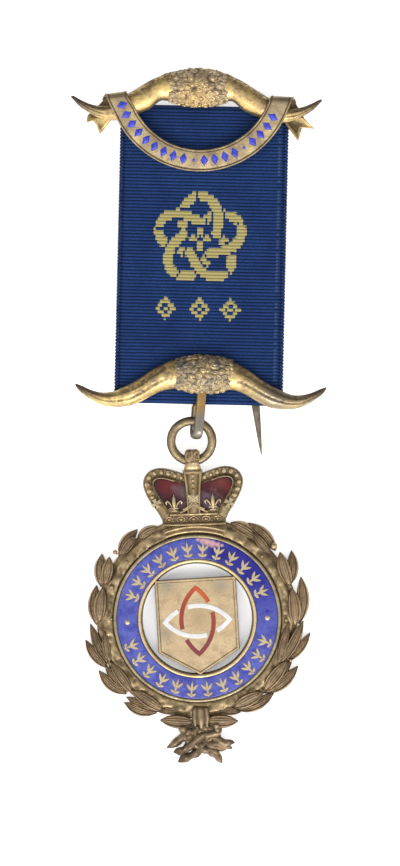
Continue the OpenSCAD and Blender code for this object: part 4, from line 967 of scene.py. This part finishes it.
shape.ball((0, 37.2, 4.12), 0.32)
drill = Shape()
drill.loft(ringRows(circle(72)[:, None], circle(20), ring["hole"]), looped=True)
cutOut(shape.cast("crownOrb", "crown", crease=45), drill)

# steps are the size, height and darkening of each level of an enamel field, painted shade at its edges
fields = {"middle": (5.4, 28.4), "inner": [(2.0, 32.4), (1.75, 30.5), (1.5, 28), (1.45, 24.2)],
          "steps": [(1, 1.36, 1), (1, 1.76, 1), (0.98, 1.84, 1), (0.9, 1.85, 0.8), (0.78, 1.86, 0.3), (0.6, 1.86, 0),
                    (0.02, 1.86, 0)]}
shape, rim = Shape(), Shape()
field, middle = np.vstack([(archPath + 1.02 * archIn)[10:56], fields["inner"]]), np.array(fields["middle"])
# painted shadow of the arches: the fields darker towards their tops
upper = 0.7 + unit((field[:, 1] - 30.5) / 3) * 0.5
for side in (1, -1):
    rim.tube(raised((archPath + archIn)[9:56] * (side, 1), 1.98), 0.15, 10, 0.12)
    shape.loft([raised((middle + (field - middle) * k) * (side, 1), z) for k, z, dark in fields["steps"]],
               unit([dark * upper for k, z, dark in fields["steps"]]))
shape.build("crownEnamel", enamel["crimson"], "dark_red_enamel", replaces=("crown_enamel",), place=onPendant)
rim.cast("crownRims", "ornament")

# leaves are start angle and radius, end angle and radius, width, bow, and 1 for a leaf in front; berries x, y, size
print("wreath")
wreath = {
    "outer": 25.8,
    "relief": 3.2,
    "left": [(144, 0.87, 160, 0.87, 0.11, 0.018, 0), (130, 0.88, 148, 0.95, 0.11, 0.022, 0),
        (132, 0.88, 145, 0.91, 0.08, 0, 1), (110, 0.89, 126, 1.02, 0.12, 0.013, 0),
        (112, 0.87, 127, 0.95, 0.11, 0, 1), (88, 0.89, 110, 0.94, 0.12, 0.022, 0),
        (90, 0.87, 110, 0.88, 0.12, 0.009, 1), (65, 0.87, 84, 0.83, 0.07, 0.009, 1),
        (65, 0.89, 89, 0.95, 0.09, 0.013, 0), (63, 0.91, 81, 1.01, 0.09, 0.022, 0),
        (45, 0.92, 64, 0.99, 0.1, 0.027, 0), (45, 0.89, 65, 0.92, 0.09, 0.009, 0), (44, 0.87, 65, 0.86, 0.1, 0, 1),
        (25, 0.91, 43, 0.99, 0.1, 0.027, 0), (24, 0.89, 44, 0.94, 0.09, 0.009, 0), (23, 0.87, 44, 0.86, 0.11, 0, 1),
        (4, 0.92, 22, 0.96, 0.12, 0.004, 1), (10, 0.82, 25, 0.9, 0.07, 0, 0)],
    "right": [(142, 0.89, 159, 0.9, 0.12, 0.009, 0), (129, 0.92, 150, 0.96, 0.11, 0.022, 0),
        (130, 0.86, 145, 0.9, 0.08, 0, 1), (108, 0.87, 124, 1.03, 0.11, 0.018, 0),
        (108, 0.87, 127, 0.94, 0.12, -0.009, 1), (85, 0.9, 110, 0.99, 0.12, 0.027, 0),
        (84, 0.87, 106, 0.88, 0.12, 0.009, 1), (58, 0.83, 86, 0.81, 0.08, 0, 1), (60, 0.84, 87, 0.94, 0.1, 0.013, 1),
        (61, 0.86, 81, 1.01, 0.09, 0.022, 0), (40, 0.89, 63, 0.99, 0.11, 0.031, 0), (41, 0.87, 63, 0.88, 0.12, 0, 1),
        (40, 0.88, 65, 0.92, 0.09, 0.009, 0), (21, 0.88, 44, 0.95, 0.11, 0.031, 0), (21, 0.85, 40, 0.88, 0.12, 0, 1),
        (3, 0.91, 20, 0.98, 0.12, 0.004, 1), (9, 0.82, 23, 0.92, 0.08, 0, 0)],
    "berries": [(-0.71, 0.61, 0.55), (-0.75, 0.3, 0.6), (-0.61, 0.52, 0.4), (0.7, 0.62, 0.8), (0.59, 0.53, 0.45),
        (0.785, -0.04, 0.5), (0.815, -0.4, 0.42), (-0.76, 0.02, 0.35)]}
leafShape = {"wide": [(0, 0.2), (0.07, 0.42), (0.18, 0.76), (0.33, 0.96), (0.48, 1.0), (0.63, 0.93), (0.78, 0.72),
                      (0.9, 0.4), (1, 0.05)],
             "high": [(0, 0.5), (0.2, 0.85), (0.48, 1), (0.78, 0.9), (1, 0.5)],
             "top": [(0, 0.94), (0.3, 0.9), (0.42, 0.84), (0.52, 0.74), (0.62, 0.78), (0.73, 0.98), (0.85, 0.92),
                     (1, 0.45)],
             "dirtAndShade": [(0, 0.3), (0.36, 0.38), (0.48, 0.8), (0.56, 0.95), (0.64, 0.5), (0.71, 0.0), (0.85, 0.0),
                      (0.93, 0.6), (1, 1)],
             "veins": (-0.2, 0.2), "lift": 0.35}


def leaf(shape, start, end, width, z, rise, bow):
    # pointed leaf with a raised edge, a sunk line inside it and engraved veins
    t, v = np.linspace(0, 1, 19)[:, None], np.linspace(1, -1, 49)
    out = quarterTurn((end - start) / np.linalg.norm(end - start))
    centre = start + (end - start) * t + out * bow * np.sin(np.pi * t)
    half, low = along(leafShape["wide"], t) * width / 2, z + leafShape["lift"] * t
    cut = sum(bump(v, g, 0.12) * unit(3 * np.sin(np.pi * (0.9 * t + 0.2 * abs(g))) - 1) for g in leafShape["veins"])
    fine = 0.02 * cloud(grid(centre[:, :1] + v * half, centre[:, 1:]), 0.5)
    top = low + rise * (along(leafShape["high"], t) * along(leafShape["top"], np.abs(v)) - 0.09 * cut) + fine
    x, y = (centre[:, k:k + 1] + out[k] * half * np.append([-1, 1], v) for k in (0, 1))
    foot = np.ones((19, 2))
    # painted shade on the leaf's outline and in its sunk line and veins, with tarnish
    dirtAndShade = unit(along(leafShape["dirtAndShade"], np.abs(v)) + 0.35 * cut)
    shape.loft(grid(x, y, np.hstack([foot * low, top])), np.hstack([foot, dirtAndShade]))


def wreathSpot(side, angle, radius):
    # a place on the wreath, by its angle from the foot
    return ray(side * angle - 90, radius * wreath["outer"])


shape = Shape()
big, relief = wreath["outer"], wreath["relief"]
for side, name in ((-1, "left"), (1, "right")):
    for i, (a0, r0, a1, r1, wide, bow, front) in enumerate(wreath[name]):
        leaf(shape, wreathSpot(side, a0, r0), wreathSpot(side, a1, r1), wide * big,
             front * 0.38 * relief + 0.15 + 0.012 * i, (0.55 - 0.12 * front) * relief, -side * bow * big)
shape.cast("wreathLeaves", "wreath", crease=180)

plateSection = [(15.1, 0.02), (19.22, 0.02), (22.4, 0.05), (22.9, 0.35), (23.0, 0.9), (22.9, 1.3), (22.5, 1.44),
                (22.1, 1.5), (21.8, 1.7), (21.5, 1.95), (21.1, 2.0), (20.7, 2.0), (20.3, 2.0), (19.9, 2.0),
                (19.45, 1.95), (19.28, 1.8), (19.22, 0.92), (15.1, 0.92)]
shape = Shape()
t, (r, z) = circle(300)[:, None], np.array(plateSection).T
bumps = 0.22 * cloud(grid(21 * t, r), 0.75)
rough = unit((r - 19.5) * 3) * (z > 1.2)
# painted shade in the low places between the bumps
shape.loft(around(t, r, z + bumps * rough), unit(0.42 - bumps * 3) * unit(rough + (z < 1)) + 0.1, looped=True)
for x, y, size in wreath["berries"]:
    spot = np.array([x, y]) * big
    shape.ball((*spot, 0.62 * relief + size * 0.5), size, 18, 12)
    shape.tube([(*spot * 0.97, 1.7), (*spot, 0.55 * relief)], 0.4 * size, 10, 0.3)
shape.cast("wreathPlate", "crown", crease=60)

# stems run from x, y to x, y, with the radius at both ends
stems = {
    "rows": [(3.1, -24.6, -7.7, -29.1, 1.25, 0.95), (4.0, -25.6, -6.0, -30.4, 1.2, 1.0),
        (3.2, -26.9, -4.8, -32.8, 1.15, 0.95), (-3.1, -24.6, 7.2, -29.0, 1.25, 0.95),
        (-4.0, -25.6, 6.4, -30.4, 1.2, 1.0), (-3.2, -26.9, 4.5, -32.7, 1.15, 0.9),
        (-3.7, -24.4, -2.4, -28.3, 1.0, 0.9), (3.7, -24.4, 2.5, -28.3, 1.0, 0.9),
        (-1.5, -24.8, -0.9, -27.4, 1.0, 0.8), (1.4, -24.8, 1.0, -27.4, 1.0, 0.8)],
    "high": (1.4, 2.0, 1.3, 1.9, 1.3, 1.2, 2.1, 2.1, 2.4, 2.3)}
shape = Shape()
t, a = np.linspace(0, 1, 26)[:, None], circle(18)
for k, ((x0, y0, x1, y1, r0, r1), high) in enumerate(zip(stems["rows"], stems["high"])):
    out = np.array([y0 - y1, x1 - x0]) / math.hypot(x1 - x0, y1 - y0)
    flat = (x0, y0) + t * (x1 - x0, y1 - y0) + 0.5 * np.sin(np.pi * t * 2.4 + 1.7 * k) * out
    path = np.hstack([flat, high + 0.35 * np.sin(np.pi * t * 1.5 + k)])
    knobs = 1 + 0.22 * np.sin(t * 19 + 2 * k) * np.sin(t * 8 + k)
    size = (r0 + (r1 - r0) * t) * knobs * along([(0, 0.7), (0.1, 1), (0.88, 1), (0.95, 0.8), (1, 0.3)], t)
    bark = 1 + 0.16 * cloud(grid(t * 9, a * 1.6), 0.7, k * 3.0)
    rows = wireRows(path, size * bark, len(a)) + heading(path)[:, None] * (0.5 * np.cos(a + k) * (t > 0.9))[..., None]
    rows[..., 2] = np.maximum(rows[..., 2], 0.03)
    # painted shade on the undersides of the stems, in the bark and at their ends
    shape.loft(rows, unit((1 - bark) * 5 + 0.85 + 0.9 * (t > 0.93) - 0.4 * np.sin(a)))
shape.cast("stems", "wreath", crease=70)

tie = {"strap": [(1, 0.2, 1), (0.96, 1.2, 0.8), (0.8, 1.75, 0.1), (0.62, 1.7, 0.2), (0.48, 1.2, 1), (0.34, 1.35, 0.6),
                 (0.16, 1.85, 0)],
       "half": [(-25.7, 1.35), (-25.0, 1.75), (-22.8, 2.1), (-20.6, 1.85), (-20.1, 1.5)],
       "rise": [(-25.7, 0.2), (-25.3, 0.75), (-23, 1), (-20.6, 0.9), (-20.1, 0.5)]}
w, z, dark = mirrored(tie["strap"]).T
y = np.linspace(-20.1, -25.7, 19)[:, None]
half, rise = along(tie["half"], y), along(tie["rise"], y)
shape = Shape()
# painted shade in the strap's folds and at its low ends
shape.loft(grid(0.1 + half * w, y, 1.5 + rise * z + 0.05 * cloud(grid(half * w, y), 0.7)),
           unit(dark + 0.6 * (rise < 0.6)))
shape.cast("tie", "wreath", crease=180)

print("medallion")
medallion = {"sprigs": 12, "step": 12.6, "sprigLong": 3.53, "sprigR": 16.0, "shieldTurn": 1.5,
             "dots": (-1.3, 181.3), "dot": [(0.56, 2.5), (0.56, 2.8), (0.48, 2.87), (0.05, 2.9)],
             "shield": [(-9.2, 9.1), (9.2, 9.1), (9.2, -7.36), (0, -12.87), (-9.2, -7.36)], "shieldTop": 2.71,
             "blades": [(0, 0, 1), (0.3, 38, 0.62), (0.3, -38, 0.62), (0, 62, 0.36), (0, -62, 0.36)]}


def hoop(section, name, finish, slot, replaces=(), wobble=0.0):
    # a ring round the medallion's middle from rows of radius, height and darkening (painted shade on its walls and in
    # its hollows)
    t, (r, z, dark) = circle(240)[:, None], np.array(section).T
    shape = Shape()
    shape.loft(around(t, r, z + wobble * cloud(grid(18 * t, r), 1.2) * (z > 2)), dark, looped=True)
    shape.build(name, finish, slot, replaces=replaces, place=onPendant, crease=50)


def bothSides(x, y):
    # closed outline from its upper side
    upper = np.column_stack([x, y])
    return np.vstack([upper, upper[-2:0:-1] * (1, -1)])


hoop([(16, 1.0, 0.8), (19.15, 1.0, 0.8), (19.2, 2.5, 0.8), (19.15, 2.74, 0.5), (19.0, 2.86, 0.15), (18.82, 2.9, 0),
      (18.66, 2.9, 0), (18.5, 2.84, 0.1), (18.43, 2.7, 0.5), (18.42, 2.2, 1), (16, 2.2, 1)],
     "outerRim", gold["rim"], "pale_gilt", replaces=("medallion",), wobble=0.02)
hoop([(12.5, 1.0, 1), (16, 1.0, 0.8), (16, 2.2, 1), (13.58, 2.2, 1), (13.57, 2.72, 0.5), (13.5, 2.86, 0),
      (13.32, 2.92, 0), (13.05, 2.9, 0), (12.88, 2.8, 0.2), (12.78, 2.5, 1)],
     "innerRim", gold["medallion"], "pale_gilt", wobble=0.015)
hoop([(13.6, 2.22, 1), (18.4, 2.22, 1), (18.4, 2.66, 1), (18.3, 2.72, 0.6), (18.0, 2.75, 0), (17.2, 2.765, 0),
      (16.0, 2.77, 0), (14.8, 2.765, 0), (14.0, 2.75, 0), (13.7, 2.72, 0.6), (13.6, 2.66, 1)],
     "ringEnamel", enamel["blue"], "blue_enamel", replaces=("ring_enamel",), wobble=0.02)

shape = Shape()
long, s = medallion["sprigLong"], np.linspace(0, 1, 9)
blade = bothSides(s, 0.092 * np.sin(np.pi * s ** 0.9) ** 0.8)
for start, flip in ((90, 0), (270, 180)):
    for i in range(medallion["sprigs"]):
        a = start + (i - (medallion["sprigs"] - 1) / 2) * medallion["step"]
        middle = ray(a, medallion["sprigR"])
        for at, turn, size in medallion["blades"]:
            outline = turned(blade * (size * long, long), turn) + ((at - 0.5) * long, 0)
            shape.plate(turned(outline, a + flip) + middle, 2.55, 2.87 + 0.004 * size, edge=0.07)
        shape.ball((*(middle - ray(a + flip, 0.5 * long)), 2.72), 0.24, 12, 6, flat=0.7)
for a in medallion["dots"]:
    # painted shade at the foot of each dot
    shape.lathe(ray(a, medallion["sprigR"]), medallion["dot"], 24, (0.6, 0.4, 0, 0))
shape.cast("ringSprigs", "cream", "pale_gilt", crease=40)

shape = Shape()
corners = np.array(medallion["shield"])
edge = np.vstack([np.linspace(a, b, 14, endpoint=False) for a, b in zip(corners, np.roll(corners, -1, 0))])
shape.plate(turned(edge, medallion["shieldTurn"]), 1.0, medallion["shieldTop"], rim=0.46, sink=0.13, edge=0.1,
            flare=0.14)
shape.cast("shield", "shield", "pale_gilt", crease=30)

# quarter is the sign of x times y where an oval passes under the other
ovals = {"white": {"long": 7.36, "high": 3.5, "stroke": 1.2, "turn": 0, "quarter": -1},
         "red": {"long": 7.54, "high": 3.68, "stroke": 1.1, "turn": 90, "quarter": 1}}
# section of an oval: place across in half strokes, height and darkening (painted shade on its sides)
ovalSection = [(-1, 2.5, 1), (-0.8, 2.66, 0.2), (0, 2.7, 0), (0.8, 2.66, 0.2), (1, 2.5, 1), (1, 2.45, 1),
               (-1, 2.45, 1)]


def ovalLine(oval):
    # pointed oval as one closed line
    r = (oval["long"] ** 2 + oval["high"] ** 2) / (2 * oval["high"])
    x = oval["long"] * np.cos(np.linspace(0, np.pi, 81))
    return turned(bothSides(x, np.sqrt(r * r - x * x) - (r - oval["high"])), oval["turn"])


for name, oval in ovals.items():
    line, other = ovalLine(oval), ovals["red" if name == "white" else "white"]
    far = np.linalg.norm(line[:, None] - ovalLine(other), axis=-1).min(1)
    hidden = (np.sign(line[:, 0] * line[:, 1]) == oval["quarter"]) & (far < other["stroke"] / 2 + 0.3)
    rows = np.stack([raised(inset(line, d * oval["stroke"] / 2), z) for d, z, dark in ovalSection], 1)
    # runs of sections between the places where it passes under
    kept = np.flatnonzero(~hidden)
    kept = np.roll(kept, -np.flatnonzero(np.diff(kept) > 1)[0] - 1)
    shape = Shape()
    for run in np.split(kept, np.flatnonzero(np.diff(kept) % len(line) > 1) + 1):
        shape.loft(rows[run], [dark for d, z, dark in ovalSection])
    shape.build("motif" + name.title(), enamel[name], name + "_enamel", replaces=("motif_" + name,),
                place=lambda points: onPendant(turned(points + (0, -0.55, 0), medallion["shieldTurn"])), crease=40)


# floor, lights and camera
print("stage")
stage = {"floor": 0.6, "paper": (255, 255, 255), "glow": [0.6, 0.6, 0.6, 1], "dim": (96, 98, 104),
         "dimReach": (11.5, 14.5), "centre": (0.931, -4.107), "height": 1.0, "lens": 121.0, "roll": 0.85, "sky": 0.9,
         "skyStops": [(0.0, 1.4), (0.3, 1.25), (0.5, 0.95), (0.7, 0.42), (1.0, 0.15)],
         "lamps": {"key": ((0.05, -0.55, 0.62), 0.42, 2.2), "side": ((-0.5, 0.25, 0.7), 0.5, 0.5)}}
floorMesh = bpy.data.meshes.new("floor")
s = stage["floor"]
floorMesh.from_pydata([(-s, -s, 0), (s, -s, 0), (s, s, 0), (-s, s, 0)], [], [(0, 1, 2, 3)])
f = Finish(bpy.data.materials.new("paper"))
# the floor glows, which washes out cast shadows on it; a dimmer disc under the pendant lets shadows show through its
# piercings
dimmed = f.patches(stage["glow"], [(*jewel["pendant"], *stage["dimReach"], stage["dim"])], 0.0)
floorMesh.materials.append(f.shade(tint(*stage["paper"]), 0.9, 0.0, glow=dimmed))
floor = placed("floor", floorMesh)

for name, (place, size, power) in stage["lamps"].items():
    # a round lamp that looks at the middle of the table
    light = bpy.data.lights.new(name, "AREA")
    light.shape, light.size, light.energy = "DISK", size, power
    x, y, z = place
    placed(name, light, place, (math.atan2(math.hypot(x, y), z), 0, math.atan2(x, -y)))

# the sky is bright below the picture and dark above it
world = bpy.data.worlds.new("studio")
f = Finish(world)
up = f.node("SeparateXYZ", {}, {"Vector": f.node("TexCoord", output="Generated")}, output="Y")
glow = f.node("ValToRGB", {"stops": [(spot, (v, v, v, 1)) for spot, v in stage["skyStops"]]},
              {0: f.spread(up, -1, 1)})
sky = f.node("Background", {}, {"Color": glow, "Strength": stage["sky"]})
f.node("OutputWorld", {}, {"Surface": sky})
bpy.context.scene.world = world
bpy.context.scene.view_settings.view_transform = "Standard"

view = bpy.data.cameras.new("camera")
view.sensor_fit, view.sensor_height, view.lens = "VERTICAL", 24, stage["lens"]
view.clip_start, view.clip_end = 0.05, 10
x, y = stage["centre"]
roll = math.radians(stage["roll"])
bpy.context.scene.camera = placed("camera", view, (x * mm, y * mm, stage["height"]), (0, 0, roll))
